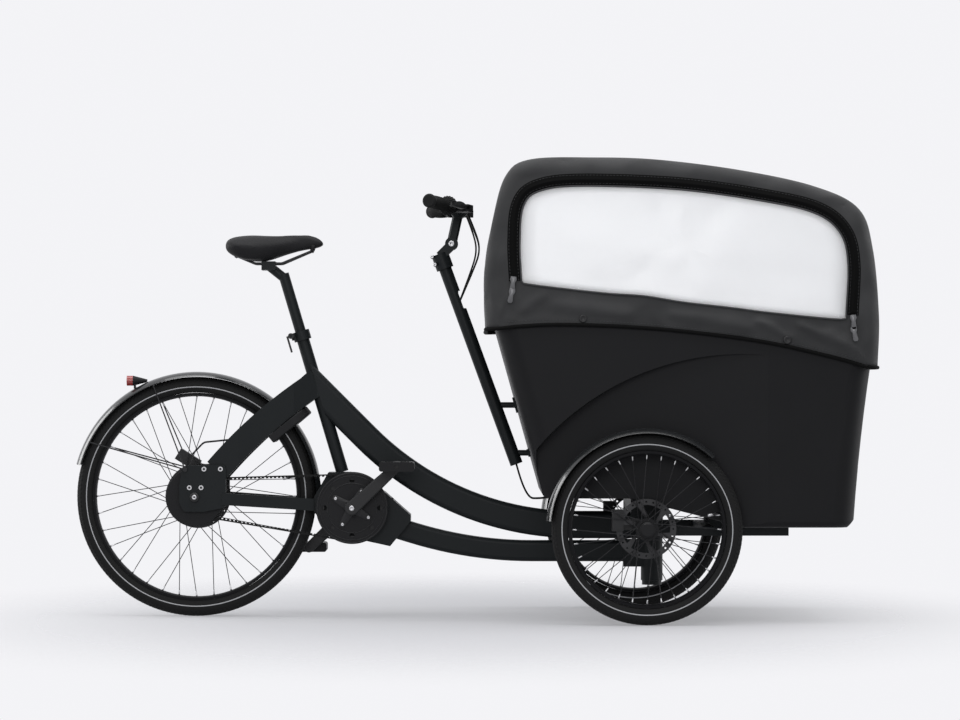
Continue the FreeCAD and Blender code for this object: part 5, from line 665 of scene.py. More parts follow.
# %% Hood rings: each side from the window to the outline
RING_ROWS = 16
outer_line = [hood_top[i] + inward(i) * round_at(i) for i in range(TOP_COUNT)]
hem_corners = [outer_line[-1]] + in_side_view(HOOD_HEM) + [outer_line[0]]
outer_ring = outer_line + smooth_path(hem_corners, SILL_COUNT)[1:-1]
hood_form = ([], [])
side_starts = {}
for sign in (-1, 1):
    side_starts[sign] = len(hood_form[0])
    points = []
    for row in range(RING_ROWS):
        share = row / (RING_ROWS - 1)
        calm = min((1 - share) * EDGE_CALM, 1) * min(share * EDGE_CALM, 1)
        for inner, outer in zip(window_ring, outer_ring):
            point = inner.lerp(outer, share)
            lift = cloth_wave(Vector((point.x, sign, point.z))) + fold_lift(point.x, point.z)
            points.append(on_side(point, sign, max(lift, -CLOTH_SINK) * tape_gap(point) * calm))
    put(hood_form, points, grid_faces(RING_ROWS, ring_count, closed_columns=True))
print("hood sides", len(hood_form[0]))

# %% Hood strip: up the back, over the roof and down the front
# A row is a side (or a share of the front window's half width), a shoulder angle, and a share of the flat edge.
SHOULDER_ROWS = 7
EDGE_ROWS = 6
WINDOW_ROWS = 16
FRONT_WINDOW_HALF = 0.232
QUARTER = math.pi / 2
strip_rows = [(-1, QUARTER * (1 - step / SHOULDER_ROWS), None) for step in range(1, SHOULDER_ROWS + 1)]
strip_rows += [(-1, None, 1 - step / EDGE_ROWS) for step in range(1, EDGE_ROWS + 1)]
strip_rows += [(step * 2 / WINDOW_ROWS - 1, None, 0) for step in range(1, WINDOW_ROWS)]
strip_rows += [(1, None, step / EDGE_ROWS) for step in range(EDGE_ROWS)]
strip_rows += [(1, QUARTER * step / SHOULDER_ROWS, None) for step in range(SHOULDER_ROWS)]
strip_points = []
for across, angle, share in strip_rows:
    for index in range(TOP_COUNT):
        radius = round_at(index)
        inner = outer_line[index]
        half = side_half(inner.z) - radius
        outward = inward(index) * -1
        if angle is not None:
            point = inner + outward * radius * math.cos(angle)
            y = across * (half + radius * math.sin(angle))
        else:
            point = hood_top[index].copy()
            y = across * (FRONT_WINDOW_HALF + (half - FRONT_WINDOW_HALF) * share)
            middle = 1 - (y / half) ** 2
            point += outward * cloth_wave(Vector((point.x, y, point.z))) * min(middle * 2, 1)
            point.z -= roof_sag(point) * middle * abs(outward.z)
        strip_points.append(Vector((point.x, y, point.z)))
print("hood strip", len(strip_points))

# %% Leave the front window open, and sew the strip to the sides
FRONT_WINDOW_LOW = 0.76
FRONT_WINDOW_HIGH = 1.06
FRONT_START = 1.0
front_columns = [i for i, spot in enumerate(hood_top) if spot.x > FRONT_START
                 and FRONT_WINDOW_LOW <= spot.z <= FRONT_WINDOW_HIGH]
first_row = SHOULDER_ROWS + EDGE_ROWS - 1
last_row = first_row + WINDOW_ROWS
window_rows = range(first_row, last_row)
window_columns = range(front_columns[0], front_columns[-1])


def strip_faces(rows, columns):
    """Faces of the strip's grid, less those of the front window."""
    corners = [row * TOP_COUNT + column for row in rows for column in columns
               if row not in window_rows or column not in window_columns]
    return [(base, base + 1, base + TOP_COUNT + 1, base + TOP_COUNT) for base in corners]


strip_start = len(hood_form[0])
last_ring = (RING_ROWS - 1) * ring_count
put(hood_form, strip_points, strip_faces(range(len(strip_rows) - 1), range(TOP_COUNT - 1)))
for sign, row in ((-1, 0), (1, len(strip_rows) - 1)):
    edge = side_starts[sign] + last_ring
    base = strip_start + row * TOP_COUNT
    for column in range(TOP_COUNT - 1):
        hood_form[1].append((edge + column, edge + column + 1, base + column + 1, base + column))
print("front window cells", len(window_rows) * len(window_columns))

# %% One sheet, with the cloth's thickness
CLOTH_THICKNESS = 0.0022
hood = new_piece("hood_sheet", hood_form, hood_cloth, "front_module")
thicken(hood, CLOTH_THICKNESS)
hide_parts("canopy")

# %% [markdown]
# The windows are soft milky film, sewn in behind the cloth. Each is a sheet of its own that bulges a little. A
# film that scatters what passes through it looks bright from outside, and a painted glow in its finish makes it
# brighter still.

# %% Window films
FILM_ROWS = 8
FILM_INSET = 0.0035
FILM_THICKNESS = 0.0006
film_form = ([], [])
for sign in (-1, 1):
    points = []
    for row in range(FILM_ROWS):
        share = row / FILM_ROWS
        for edge in window_ring:
            point = edge.lerp(window_middle, share)
            wave = cloth_wave(Vector((point.x, sign * 2, point.z))) * min(share * EDGE_CALM, 1)
            points.append(on_side(point, sign, wave, FILM_INSET))
    last = len(points) - ring_count
    hub = len(points)
    points.append(on_side(window_middle, sign, 0, FILM_INSET))
    fan = [(last + column, last + (column + 1) % ring_count, hub) for column in range(ring_count)]
    put(film_form, points, grid_faces(FILM_ROWS, ring_count, closed_columns=True) + fan)
patch = [strip_points[row * TOP_COUNT + column] + inward(column) * FILM_INSET
         for row in range(first_row, last_row + 1) for column in front_columns]
put(film_form, patch, grid_faces(WINDOW_ROWS + 1, len(front_columns)))
film = new_piece("window_films", film_form, window_film, "front_module")
thicken(film, FILM_THICKNESS)
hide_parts("canopy_windows")

# %% [markdown]
# Zip tape frames each side window on three sides, with its teeth as a bead along the middle, and a light welt
# edges the window. Both are narrow strips that lie on the cloth, so they follow the window's own outline, moved
# out along its normal. The front window has a plain sewn frame.

# %% Zip tapes and window welts
TAPE_PROFILE = ((0.002, -0.0010), (0.003, 0.0016), (0.015, 0.0022), (0.0165, 0.0040), (0.0185, 0.0040),
                (0.020, 0.0022), (0.032, 0.0016), (TAPE_WIDTH, -0.0010))
TAPE_THICKNESS = 0.0008
WELT_RADIUS = 0.0024
WELT_SIDES = 8
FRAME_CELLS = 2
FRAME_LIFT = 0.0014


def beside_window(index, reach):
    """A place beyond the window's top line, in the side view."""
    along = run_of(window_top, index)
    away = Vector((-along.z, 0, along.x))
    outside = 1 if away.dot(window_top[index] - window_middle) > 0 else -1
    return window_top[index] + away * outside * reach


tape_form = ([], [])
welt_form = ([], [])
for sign in (-1, 1):
    points = [on_side(beside_window(index, reach), sign, lift)
              for index in range(TOP_COUNT) for reach, lift in TAPE_PROFILE]
    put(tape_form, points, grid_faces(TOP_COUNT, len(TAPE_PROFILE)))
    ring = [on_side(point, sign, WELT_RADIUS / 2) for point in window_ring]
    tube(welt_form, ring + ring[:1], WELT_RADIUS, WELT_SIDES)
frame_faces = strip_faces(range(first_row - FRAME_CELLS, last_row + FRAME_CELLS),
                          range(front_columns[0] - FRAME_CELLS, front_columns[-1] + FRAME_CELLS))
used = sorted({corner for face in frame_faces for corner in face})
renumber = {corner: place for place, corner in enumerate(used)}
put(tape_form, [strip_points[corner] - inward(corner % TOP_COUNT) * FRAME_LIFT for corner in used],
    [tuple(renumber[corner] for corner in face) for face in frame_faces])
thicken(new_piece("zip_tapes", tape_form, zip_tape, "front_module"), TAPE_THICKNESS)
new_piece("window_welts", welt_form, trim_vinyl, "front_module")
print("tapes", len(tape_form[0]), "welts", len(welt_form[0]))

# %% Hem tape: an elastic binding round the lower edge
HEM_OUT = 0.0015
HEM_RADIUS = 0.0052
HEM_SIDES = 10
hem_line = []
for sign, column in ((-1, 0), (1, TOP_COUNT - 1)):
    side = [hood_form[0][side_starts[sign] + last_ring + (TOP_COUNT - 1 + step) % ring_count]
            + Vector((0, sign * HEM_OUT, 0)) for step in range(SILL_COUNT)]
    across = strip_points[column::TOP_COUNT]
    hem_line += side + across if sign < 0 else side[::-1] + across[::-1]
hem_form = ([], [])
tube(hem_form, hem_line + hem_line[:1], HEM_RADIUS, HEM_SIDES)
new_piece("hem_tape", hem_form, hem_tape, "front_module")
print("hem points", len(hem_line))

# %% [markdown]
# Two rows of stitches hold each tape to the cloth and one row closes the hem. A bump could only hint at them,
# so each stitch is a short thread of its own, laid along a path that lies on the cloth.

# %% Stitches
STITCH_STEP = 0.003
STITCH_RADIUS = 0.0005
STITCH_LIFT = 0.0022
STITCH_SIDES = 4
STITCH_POINTS = 3
STITCH_REACHES = (0.007, 0.029)
HEM_ROW = RING_ROWS - 3


def length_of(line):
    """The length of a line of points."""
    return sum((b - a).length for a, b in zip(line, line[1:]))


def stitch_row(form, path):
    """Short threads along a path, each two steps long, with a gap of one step."""
    spots = smooth_path(path, int(length_of(path) / STITCH_STEP))
    for start in range(0, len(spots) - 2, STITCH_POINTS):
        tube(form, spots[start:start + STITCH_POINTS], (STITCH_RADIUS / 2, STITCH_RADIUS, STITCH_RADIUS / 2),
             STITCH_SIDES)


stitch_form = ([], [])
for sign in (-1, 1):
    for reach in STITCH_REACHES:
        stitch_row(stitch_form, [on_side(beside_window(index, reach), sign, STITCH_LIFT)
                                 for index in range(TOP_COUNT)])
    row_start = side_starts[sign] + HEM_ROW * ring_count
    hem_seam = hood_form[0][row_start + TOP_COUNT:row_start + ring_count]
    stitch_row(stitch_form, [point + Vector((0, sign * STITCH_RADIUS, 0)) for point in hem_seam])
new_piece("hood_stitches", stitch_form, stitch_thread, "front_module")
print("stitch points", len(stitch_form[0]))

# %% [markdown]
# Two zip sliders hang at each lower end of a tape, one under the other, and snap buttons hold the cloth to the
# box. They are small metal pieces, drawn as eased plates with a waist, and as turned buttons.

# %% Zip sliders and snaps
SLIDERS = ((0.1115, 0.908, -7), (0.1070, 0.876, -12), (1.0170, 0.806, 4), (1.0195, 0.774, 12))
SLIDER_OUTLINE = ((-0.007, 0.018), (0.007, 0.018), (0.009, 0.010), (0.0055, 0.002), (0.007, -0.016),
                  (0.004, -0.021), (-0.004, -0.021), (-0.007, -0.016), (-0.0055, 0.002), (-0.009, 0.010))
SLIDER_RISE = 0.0045
SLIDER_WALL = 0.0030
SNAP_SIDES = 28
SNAPS = ((0.298, 0.814), (0.841, 0.757))
SNAP_PROFILE = ((-0.001, 0.0112), (0.0018, 0.0112), (0.0032, 0.0092), (0.0034, 0.0060), (0.0018, 0.0048),
                (0.0022, 0.0006))
slider_form = ([], [])
snap_form = ([], [])
for sign in (-1, 1):
    for x, z, turn in SLIDERS:
        cosine, sine = math.cos(math.radians(turn)), math.sin(math.radians(turn))
        outline = [(x + u * cosine - v * sine, z + u * sine + v * cosine) for u, v in SLIDER_OUTLINE]
        near = side_half(z) + SLIDER_RISE
        plate(slider_form, outline, *sorted((sign * near, sign * (near + SLIDER_WALL))))
    for x, z in SNAPS:
        spot = on_side(Vector((x, 0, z)), sign, fold_lift(x, z))
        lathe(snap_form, SNAP_PROFILE, spot, (0, sign, 0), SNAP_SIDES)
new_piece("zip_sliders", slider_form, zip_metal, "front_module")
new_piece("hood_snaps", snap_form, black_alloy, "front_module")
print("sliders", len(SLIDERS) * 2, "snaps", len(SNAPS) * 2)

# %% [markdown]
# ## Tyres
# A tyre is a round casing with a tread of small blocks and a pale reflecting line on each side. The casing is a
# spun section, a hair smaller than the model's so that the blocks end at the model's own radius. The blocks are
# set in staggered rows, which a bump texture could not show in the outline.

# %% Casing, tread and reflecting lines for one wheel
SECTION_RADIUS = 0.0253
CASING_RADIUS = 0.0246
SECTION_HALF_ANGLE = 2.40
SECTION_STEPS = 26
WHEEL_STEPS = 144
TREAD_PITCH = 0.0125
TREAD_ANGLES = (-0.92, -0.56, -0.19, 0.19, 0.56, 0.92)
TREAD_HALF_ANGLE = 0.125
TREAD_LENGTH_SHARE = 0.33
TREAD_SLANT_SHARE = 0.22
TREAD_TOP_SHARE = 0.82
BLOCK_CORNERS = ((-1, -1), (1, -1), (1, 1), (-1, 1))
BLOCK_FACES = ((4, 5, 6, 7), (0, 1, 5, 4), (1, 2, 6, 5), (2, 3, 7, 6), (3, 0, 4, 7))
STRIPE_HALF = 0.0018
STRIPE_RISE = 0.0004
STRIPE_PROFILE = ((-1, -1), (-0.5, 1), (0, 1), (0.5, 1), (1, -1))


def wheel_spot(centre, radius, turn, y=0):
    """A place at a radius and a turn round a crossways axle, y to its side."""
    return centre + Vector((radius * math.cos(turn), y, radius * math.sin(turn)))


def tyre_spot(centre, radius, turn, angle, lift):
    """A place on the tyre: turn goes round the wheel, angle round the casing's section from the crown."""
    return wheel_spot(centre, radius - SECTION_RADIUS + lift * math.cos(angle), turn, lift * math.sin(angle))


def tyre_band(form, centre, radius, section):
    """Spins a section's (angle, lift) points round the wheel."""
    points = [tyre_spot(centre, radius, math.tau * step / WHEEL_STEPS, angle, lift)
              for step in range(WHEEL_STEPS) for angle, lift in section]
    put(form, points, grid_faces(WHEEL_STEPS, len(section), True, True))


def tyre(name, node, centre, radius, stripe_radius, body):
    """A tyre with its tread and its reflecting lines, in place of the model's plain one."""
    form = ([], [])
    tyre_band(form, centre, radius, [(SECTION_HALF_ANGLE * (2 * step / SECTION_STEPS - 1), CASING_RADIUS)
                                     for step in range(SECTION_STEPS + 1)])
    count = 2 * round(math.tau * radius / TREAD_PITCH / 2)
    step = math.tau / count
    length = step * TREAD_LENGTH_SHARE
    for row in range(count):
        for place, angle in enumerate(TREAD_ANGLES):
            turn = (row + (place % 2) / 2) * step
            slant = step * TREAD_SLANT_SHARE * (1 if angle > 0 else -1)
            block = [tyre_spot(centre, radius, turn + along * length * share + across * slant,
                               angle + across * TREAD_HALF_ANGLE * share, lift)
                     for lift, share in ((CASING_RADIUS - STRIPE_RISE, 1.0), (SECTION_RADIUS, TREAD_TOP_SHARE))
                     for across, along in BLOCK_CORNERS]
            put(form, block, BLOCK_FACES)
    piece = new_piece(name, form, tyre_rubber, body)
    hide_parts(node)
    lines = ([], [])
    level = stripe_radius - (radius - SECTION_RADIUS)
    for sign in (-1, 1):
        tyre_band(lines, centre, radius, [(math.acos((level + off * STRIPE_HALF) / CASING_RADIUS) * sign,
                                           CASING_RADIUS + rise * STRIPE_RISE) for off, rise in STRIPE_PROFILE])
    new_piece(f"{name}_lines", lines, pale_stripe, body)
    print(name, "blocks", count * len(TREAD_ANGLES))


# %% Three tyres
REAR_AXLE = Vector((-0.758, 0, 0.330))
REAR_RADIUS = 0.330
FRONT_RADIUS = 0.254
REAR_STRIPE = 0.302
FRONT_STRIPE = 0.226
front_axles = {"right": Vector((FRONT_AXLE.x, -FRONT_AXLE.y, FRONT_AXLE.z)), "left": FRONT_AXLE}
tyre("rear_tread_tyre", "rear_tyre", REAR_AXLE, REAR_RADIUS, REAR_STRIPE, "rear_wheel")
for side, axle in front_axles.items():
    tyre(f"front_tread_tyre_{side}", f"front_tyre_{side}", axle, FRONT_RADIUS, FRONT_STRIPE, f"wheel_{side}")

# %% [markdown]
# Bright nipples hold the spokes in each rim, and one valve sticks out of it. They are small, but they give the
# wheels their sparkle, so each is a tapered rod that points along its own spoke.

# %% Spoke nipples and valves
REAR_SPOKES = {"count": 36, "rim_radius": 0.276, "hub_radius": 0.079, "flange_y": 0.029, "twist": 24}
FRONT_SPOKES = {"count": 32, "rim_radius": 0.199, "hub_radius": 0.025, "flange_y": 0.027, "twist": 42}
NIPPLE_LENGTH = 0.013
NIPPLE_RADIUS = 0.0021
NIPPLE_SIDES = 8
NIPPLE_SHARES = (0, 0.25, 0.8, 1.0)
NIPPLE_RADII = [NIPPLE_RADIUS * share for share in (1.15, 1.0, 0.85, 0.7)]
RIM_STAGGER = 0.0025
VALVE_LENGTH = 0.034
VALVE_TURN = 1.15
VALVE_SIDES = 10
VALVE_SHARES = (0, 0.55, 0.56, 0.95, 1.0)
VALVE_RADII = (0.0032, 0.0032, 0.0042, 0.0042, 0.0028)


def nipples(name, centre, body, count, rim_radius, hub_radius, flange_y, twist):
    """A nipple on the rim end of every spoke of a wheel, and the wheel's valve."""
    form = ([], [])
    for index in range(count):
        side = 1 if index % 2 else -1
        lean = 1 if index % 4 < 2 else -1
        turn = math.tau * index / count
        rim_spot = wheel_spot(centre, rim_radius, turn, side * RIM_STAGGER)
        hub_spot = wheel_spot(centre, hub_radius, turn + lean * math.radians(twist), side * flange_y)
        along = (hub_spot - rim_spot).normalized() * NIPPLE_LENGTH
        tube(form, [rim_spot + along * share for share in NIPPLE_SHARES], NIPPLE_RADII, NIPPLE_SIDES)
    root = wheel_spot(centre, rim_radius, VALVE_TURN * math.tau / count)
    stem = [root.lerp(centre, VALVE_LENGTH * share / rim_radius) for share in VALVE_SHARES]
    tube(form, stem, VALVE_RADII, VALVE_SIDES)
    new_piece(name, form, bare_steel, body)
    print(name, count)


nipples("rear_nipples", REAR_AXLE, "rear_wheel", **REAR_SPOKES)
for side, axle in front_axles.items():
    nipples(f"front_nipples_{side}", axle, f"wheel_{side}", **FRONT_SPOKES)

# %% [markdown]
# ## Saddle
# The saddle is foam under a stretched skin. It starts from the model's solid, a little smaller, cut into even
# cells; a short cloth run with inner pressure then swells it, so that the skin pulls tight between its edges. A
# hand-drawn surface could do it too, but the swelling gives the soft crown for free.

# %% Cut the saddle into even cells
SADDLE_SHRINK = 0.985
SADDLE_VOXEL = 0.005
cad_saddle = nodes["saddle"]
saddle_mesh = cad_saddle.data.copy()
saddle_mesh.materials.clear()
saddle = bpy.data.objects.new("saddle_cover", saddle_mesh)
scene.collection.objects.link(saddle)
saddle_low, saddle_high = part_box("saddle")
saddle_middle = (Vector(saddle_low) + Vector(saddle_high)) / 2
for vertex in saddle_mesh.vertices:
    vertex.co = saddle_middle + (cad_saddle.matrix_world @ vertex.co - saddle_middle) * SADDLE_SHRINK
remesh = saddle.modifiers.new("Cells", "REMESH")
remesh.mode = "VOXEL"
remesh.voxel_size = SADDLE_VOXEL
remesh.use_smooth_shade = True


def solved_mesh(piece):
    """A mesh of a piece with all that its modifiers and curves make."""
    bpy.context.view_layer.update()
    return bpy.data.meshes.new_from_object(piece.evaluated_get(bpy.context.evaluated_depsgraph_get()))


def settle(piece):
    """Turns a piece's modifiers into its mesh."""
    solved = solved_mesh(piece)
    piece.modifiers.clear()
    piece.data = solved


settle(saddle)
print("saddle", len(saddle.data.vertices))

# %% Swell the saddle
SADDLE_PRESSURE = 4
SADDLE_MOVE = 0.005
SADDLE_FRAMES = 20
rest = [vertex.co.copy() for vertex in saddle.data.vertices]
cloth = saddle.modifiers.new("Skin", "CLOTH")
cloth.settings.use_pressure = True
cloth.settings.uniform_pressure_force = SADDLE_PRESSURE
cloth.settings.effector_weights.gravity = 0
cloth.point_cache.frame_end = SADDLE_FRAMES
for step in range(1, SADDLE_FRAMES + 1):
    scene.frame_set(step)
settle(saddle)
scene.frame_set(1)
for vertex, start in zip(saddle.data.vertices, rest):
    move = vertex.co - start
    if move.length > SADDLE_MOVE:
        move *= SADDLE_MOVE / move.length
    vertex.co = start + move
    vertex.co.z = min(vertex.co.z, saddle_high[2])
print("saddle top", round(max(vertex.co.z for vertex in saddle.data.vertices), 4))

# %% Smooth the cells and dress the saddle
SMOOTH_ROUNDS = 14
SMOOTH_FACTOR = 0.5
shape = bmesh.new()
shape.from_mesh(saddle.data)
for step in range(SMOOTH_ROUNDS):
    bmesh.ops.smooth_vert(shape, verts=shape.verts, factor=SMOOTH_FACTOR, use_axis_x=True, use_axis_y=True,
                          use_axis_z=True)
bmesh.ops.subdivide_edges(shape, edges=shape.edges, cuts=1, use_grid_fill=True, smooth=1.0)
shape.to_mesh(saddle.data)
shape.free()
for polygon in saddle.data.polygons:
    polygon.use_smooth = True
saddle.data.materials.append(saddle_skin)
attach(saddle, "seat")
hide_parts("saddle")
print("saddle faces", len(saddle.data.polygons))

# %% [markdown]
# ## Cables
# Three cables leave the handlebar and go into the post, and two come out of its foot and pass under the box.
# Each is one smooth spline that a few points of its route steer, with a tube along it. The upper ones ride on
# no body; the two lower ones ride on the front module.

# %% Routes and tubes
CABLE_RADIUS = 0.0024
LOOP_RADIUS = 0.0026
CABLE_SIDES = 12
ROUTE_STEPS = 16


def spline_points(route):
    """Points on the smooth spline that a route's points control."""
    data = bpy.data.curves.new("route", "CURVE")
    data.dimensions = "3D"
    data.resolution_u = ROUTE_STEPS
    spline = data.splines.new("NURBS")
    spline.points.add(len(route) - 1)
    for point, spot in zip(spline.points, route):
        point.co = (*spot, 1)
    spline.order_u = 3
    spline.use_endpoint_u = True
    holder = bpy.data.objects.new("route", data)
    scene.collection.objects.link(holder)
    solved = solved_mesh(holder)
    points = [vertex.co.copy() for vertex in solved.vertices]
    bpy.data.objects.remove(holder)
    bpy.data.meshes.remove(solved)
    return points


def cable(name, route, radius, body):
    """A cable as a tube along its spline."""
    line = spline_points(route)
    form = ([], [])
    tube(form, line, radius, CABLE_SIDES)
    piece = new_piece(name, form, soft_rubber, body)
    return piece


# %% Five cables
UPPER_SIDE = ((-0.01469, 0.13329, 1.11603), (0.0125, 0.0665, 1.0570), (0.025, 0.018, 1.010),
              (0.0075, 0.0130, 0.9580), (-0.03577, 0.0045, 0.859))
UPPER_MIDDLE = ((-0.01325, 0, 1.1032), (0.0050, 0, 1.0580), (0.016, 0, 1.010), (0.0015, 0, 0.9560),
                (-0.03577, 0, 0.859))
LOWER_LOOP = ((0.12317, 0.008, 0.424), (0.148, 0.008, 0.326), (0.194, 0.008, 0.3236), (0.236, 0.016, 0.3311))
upper_routes = {"brake_cable_right": [(x, -y, z) for x, y, z in UPPER_SIDE], "brake_cable_left": UPPER_SIDE,
                "shift_cable": UPPER_MIDDLE}
for name, route in upper_routes.items():
    piece = cable(name, route, CABLE_RADIUS, None)
    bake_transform(piece)
for side, sign in (("right", -1), ("left", 1)):
    route = [(x, sign * y, z) for x, y, z in LOWER_LOOP]
    piece = cable(f"loop_cable_{side}", route, LOOP_RADIUS, "front_module")
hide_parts("control_cables")

# %% [markdown]
# ## Small hardware
# Bolts, rings and ribs are what the eye uses to judge scale on so dark an object. They are turned, cut from a
# small outline or drawn as rods; bolts sit on the face that a line across the vehicle meets, so none floats.

# %% Helpers for small hardware
RIGHT = Vector((0, -1, 0))
FAR_OUT = 2
BUTTON_PROFILE = ((-0.0005, 1.0), (0.0012, 1.0), (0.0022, 0.78), (0.0023, 0.42), (0.0012, 0.36), (0.0012, 0.05))


def skin_spot(node, x, z, sign):
    """Where a line across the vehicle meets a node first, from the right (-1) or the left (1)."""
    hit, spot = nodes[node].ray_cast(Vector((x, sign * FAR_OUT, z)), Vector((0, -sign, 0)))[:2]
    if not hit:
        raise ValueError(f"no face of {node} at {x}, {z}")
    return spot


def button(form, radius, spot, axis, count):
    """A bolt's button head of a radius, with a socket in it."""
    lathe(form, [(along, share * radius) for along, share in BUTTON_PROFILE], spot, axis, count)


# %% Spider, bolts and rings on the crank side
CRANK_AXIS = Vector((-0.327, 0, 0.300))
GUARD_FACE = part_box("sprocket_guard")[0].y
SPIDER_TURNS = (150, 60, -30, -120)
SPIDER_ARM = ((0.020, -38), (0.054, -9), (0.061, -5), (0.061, 5), (0.054, 9), (0.020, 38))
SPIDER_WALL = 0.0026
SPIDER_SINK = 0.0005
RING_STEPS = 96
RING_SIDES = 8
GUARD_RINGS = ((0.0955, 0.0017), (0.088, 0.0010), (0.068, 0.0012))
BOLT_REACH = 0.052
BOLT_RADIUS = 0.0046
BOLT_SIDES = 24
CRANK_BOLT_RADIUS = 0.0075
CRANK_BOLT_SIDES = 32
spider_form = ([], [])
corners = [wheel_spot(CRANK_AXIS, reach, math.radians(turn + off))
           for turn in sorted(SPIDER_TURNS) for reach, off in SPIDER_ARM]
plate(spider_form, [(spot.x, spot.z) for spot in corners], GUARD_FACE - SPIDER_WALL, GUARD_FACE + SPIDER_SINK)
for radius, thick in GUARD_RINGS:
    ring = [wheel_spot(CRANK_AXIS, radius, math.tau * step / RING_STEPS, GUARD_FACE)
            for step in range(RING_STEPS + 1)]
    tube(spider_form, ring, thick, RING_SIDES)
new_piece("crank_spider", spider_form, black_alloy, "crank")
bolt_form = ([], [])
for turn in SPIDER_TURNS:
    spot = wheel_spot(CRANK_AXIS, BOLT_REACH, math.radians(turn), GUARD_FACE - SPIDER_WALL)
    button(bolt_form, BOLT_RADIUS, spot, RIGHT, BOLT_SIDES)
for sign in (-1, 1):
    spot = skin_spot("crank_arms", CRANK_AXIS.x, CRANK_AXIS.z, sign)
    button(bolt_form, CRANK_BOLT_RADIUS, spot, (0, sign, 0), CRANK_BOLT_SIDES)
new_piece("crank_bolts", bolt_form, bare_steel, "crank")
print("guard face", round(GUARD_FACE, 4))

# %% Bright bolts on the stem's clamp
STEM_BOLTS = ((-0.0545, 1.027, 0.0085), (-0.108, 0.991, 0.0052), (-0.100, 0.969, 0.0052))
BRIGHT_SIDES = 28
stem_bolt_form = ([], [])
for x, z, radius in STEM_BOLTS:
    for sign in (-1, 1):
        button(stem_bolt_form, radius, skin_spot("stem_clamp", x, z, sign), (0, sign, 0), BRIGHT_SIDES)
new_piece("stem_bolts", stem_bolt_form, bare_steel, "front_module")
print("stem bolts", len(STEM_BOLTS) * 2)

# %% Sockets in the dropout bolts, and a nut on the right end of the rear axle
# The left end stays bare, as a hitch slides over it.
DROPOUT_BOLTS = ((-0.687, 0.407), (-0.732, 0.407), (-0.740, 0.356), (-0.772, 0.356))
SOCKET_RADIUS = 0.0034
SOCKET_SIDES = 20
WASHER_RADIUS = 0.0128
WASHER_WALL = 0.0012
WASHER_SIDES = 36
NUT_RADIUS = 0.0067
WASHER_PROFILE = ((-0.001, WASHER_RADIUS), (WASHER_WALL / 2, WASHER_RADIUS), (WASHER_WALL, WASHER_RADIUS * 0.9),
                  (WASHER_WALL, NUT_RADIUS / 2))
SOCKET_PROFILE = [(along, SOCKET_RADIUS * share) for along, share in
                  ((-0.0004, 1.0), (0.0004, 1.0), (0.0006, 0.82), (0.0003, 0.72), (0.0003, 0.08))]
socket_form = ([], [])
nut_form = ([], [])
for sign in (-1, 1):
    for x, z in DROPOUT_BOLTS:
        spot = skin_spot("dropout_bolts", x, z, sign)
        lathe(socket_form, SOCKET_PROFILE, spot, (0, sign, 0), SOCKET_SIDES)
axle_end = skin_spot("rear_axle", REAR_AXLE.x, REAR_AXLE.z, -1)
lathe(socket_form, WASHER_PROFILE, axle_end, RIGHT, WASHER_SIDES)
button(nut_form, NUT_RADIUS, axle_end + RIGHT * WASHER_WALL, RIGHT, BRIGHT_SIDES)
lathe(socket_form, SOCKET_PROFILE, axle_end + RIGHT * WASHER_WALL * 2, RIGHT, SOCKET_SIDES)
new_piece("bolt_sockets", socket_form, black_alloy, "rear_frame")
new_piece("axle_nut", nut_form, bare_steel, "rear_frame")
print("bolt sockets", len(DROPOUT_BOLTS) * 2)

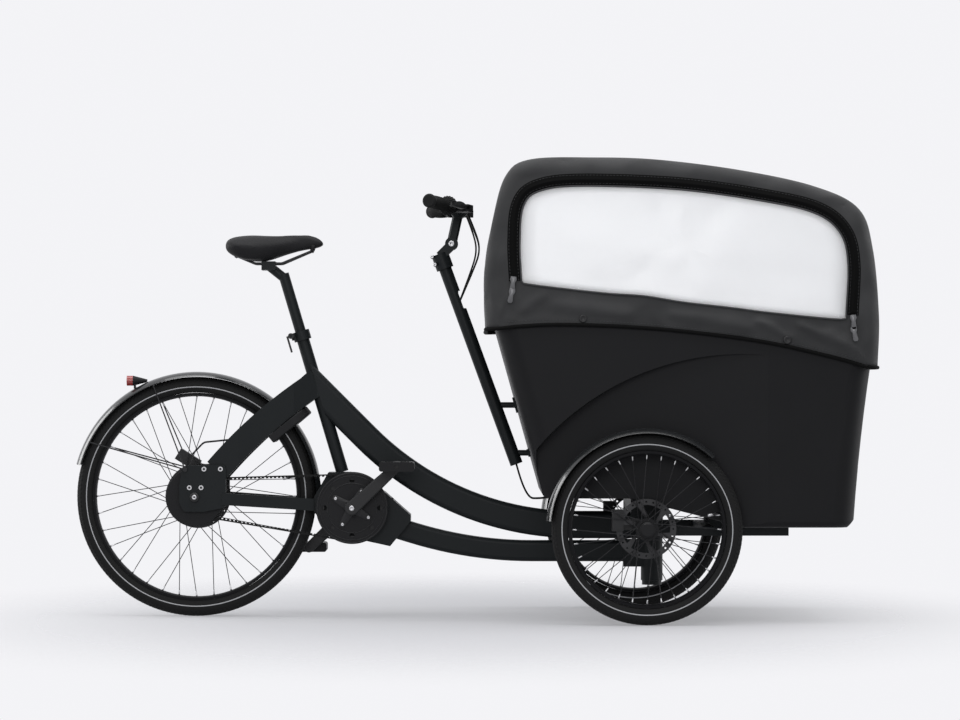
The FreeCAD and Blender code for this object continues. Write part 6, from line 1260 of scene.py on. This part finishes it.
# %% Sockets that take the saddle's rails
RAIL_ENDS = ((-0.441, 0.0123, 1.003, 0.006), (-0.647, 0.0233, 0.989, -0.006))
RAIL_SOCKET_HEIGHT = 0.020
RAIL_SOCKET_SIDES = 14
RAIL_SOCKET_RADII = (0.0042, 0.0058, 0.0066, 0.0072)
RAIL_SOCKET_STEPS = len(RAIL_SOCKET_RADII) - 1
rail_form = ([], [])
for x, y, z, lean in RAIL_ENDS:
    for sign in (-1, 1):
        foot = Vector((x, sign * y, z))
        head = foot + Vector((lean, 0, RAIL_SOCKET_HEIGHT))
        path = [foot.lerp(head, step / RAIL_SOCKET_STEPS) for step in range(RAIL_SOCKET_STEPS + 1)]
        tube(rail_form, path, RAIL_SOCKET_RADII, RAIL_SOCKET_SIDES)
new_piece("rail_sockets", rail_form, housing, "seat")
print("rail sockets", len(RAIL_ENDS) * 2)

# %% Ribs on the grips
GRIP_AXIS = Vector((-0.327194, -0.94383, 0.046143))
GRIP_INNER = Vector((-0.067731, -0.1773, 1.124757))
GRIP_START = 0.014
GRIP_PITCH = 0.0062
GRIP_RADIUS = 0.0162
GRIP_SWELL = 0.0012
GRIP_RIBS = 17
RIB_RADIUS = 0.0008
RIB_STEPS = 40
RIB_SIDES = 6
grip_form = ([], [])
for mirror in (1, -1):
    across = Vector((1, mirror, 1))
    axis, inner = GRIP_AXIS * across, GRIP_INNER * across
    side, up = across_axis(axis)
    for rib in range(GRIP_RIBS):
        swell = GRIP_RADIUS + GRIP_SWELL * math.sin(math.pi * rib / (GRIP_RIBS - 1))
        ring = circle(inner + axis * (GRIP_START + GRIP_PITCH * rib), side, up, swell, RIB_STEPS)
        tube(grip_form, ring + ring[:1], RIB_RADIUS, RIB_SIDES)
new_piece("grip_ribs", grip_form, soft_rubber, "stem")
print("grip ribs", GRIP_RIBS * 2)

# %% Ribs on the twist shifter
KNURLS = 22
KNURL_RADIUS = 0.0011
KNURL_SIDES = 6
TWIST_REACH = 0.0173
TWIST_LINE = ((0.0165, 0.001), (0.0205, 0.014), (0.0262, 0.0255), (0.0264, 0.033))
twist_end = GRIP_INNER + GRIP_AXIS * TWIST_REACH
knurl_form = ([], [])
for out in circle(Vector(), *across_axis(GRIP_AXIS), 1, KNURLS):
    path = [twist_end - GRIP_AXIS * along + out * radius for radius, along in TWIST_LINE]
    tube(knurl_form, path, KNURL_RADIUS, KNURL_SIDES)
new_piece("shifter_knurls", knurl_form, soft_rubber, "twist_shifter")
print("knurls", KNURLS)
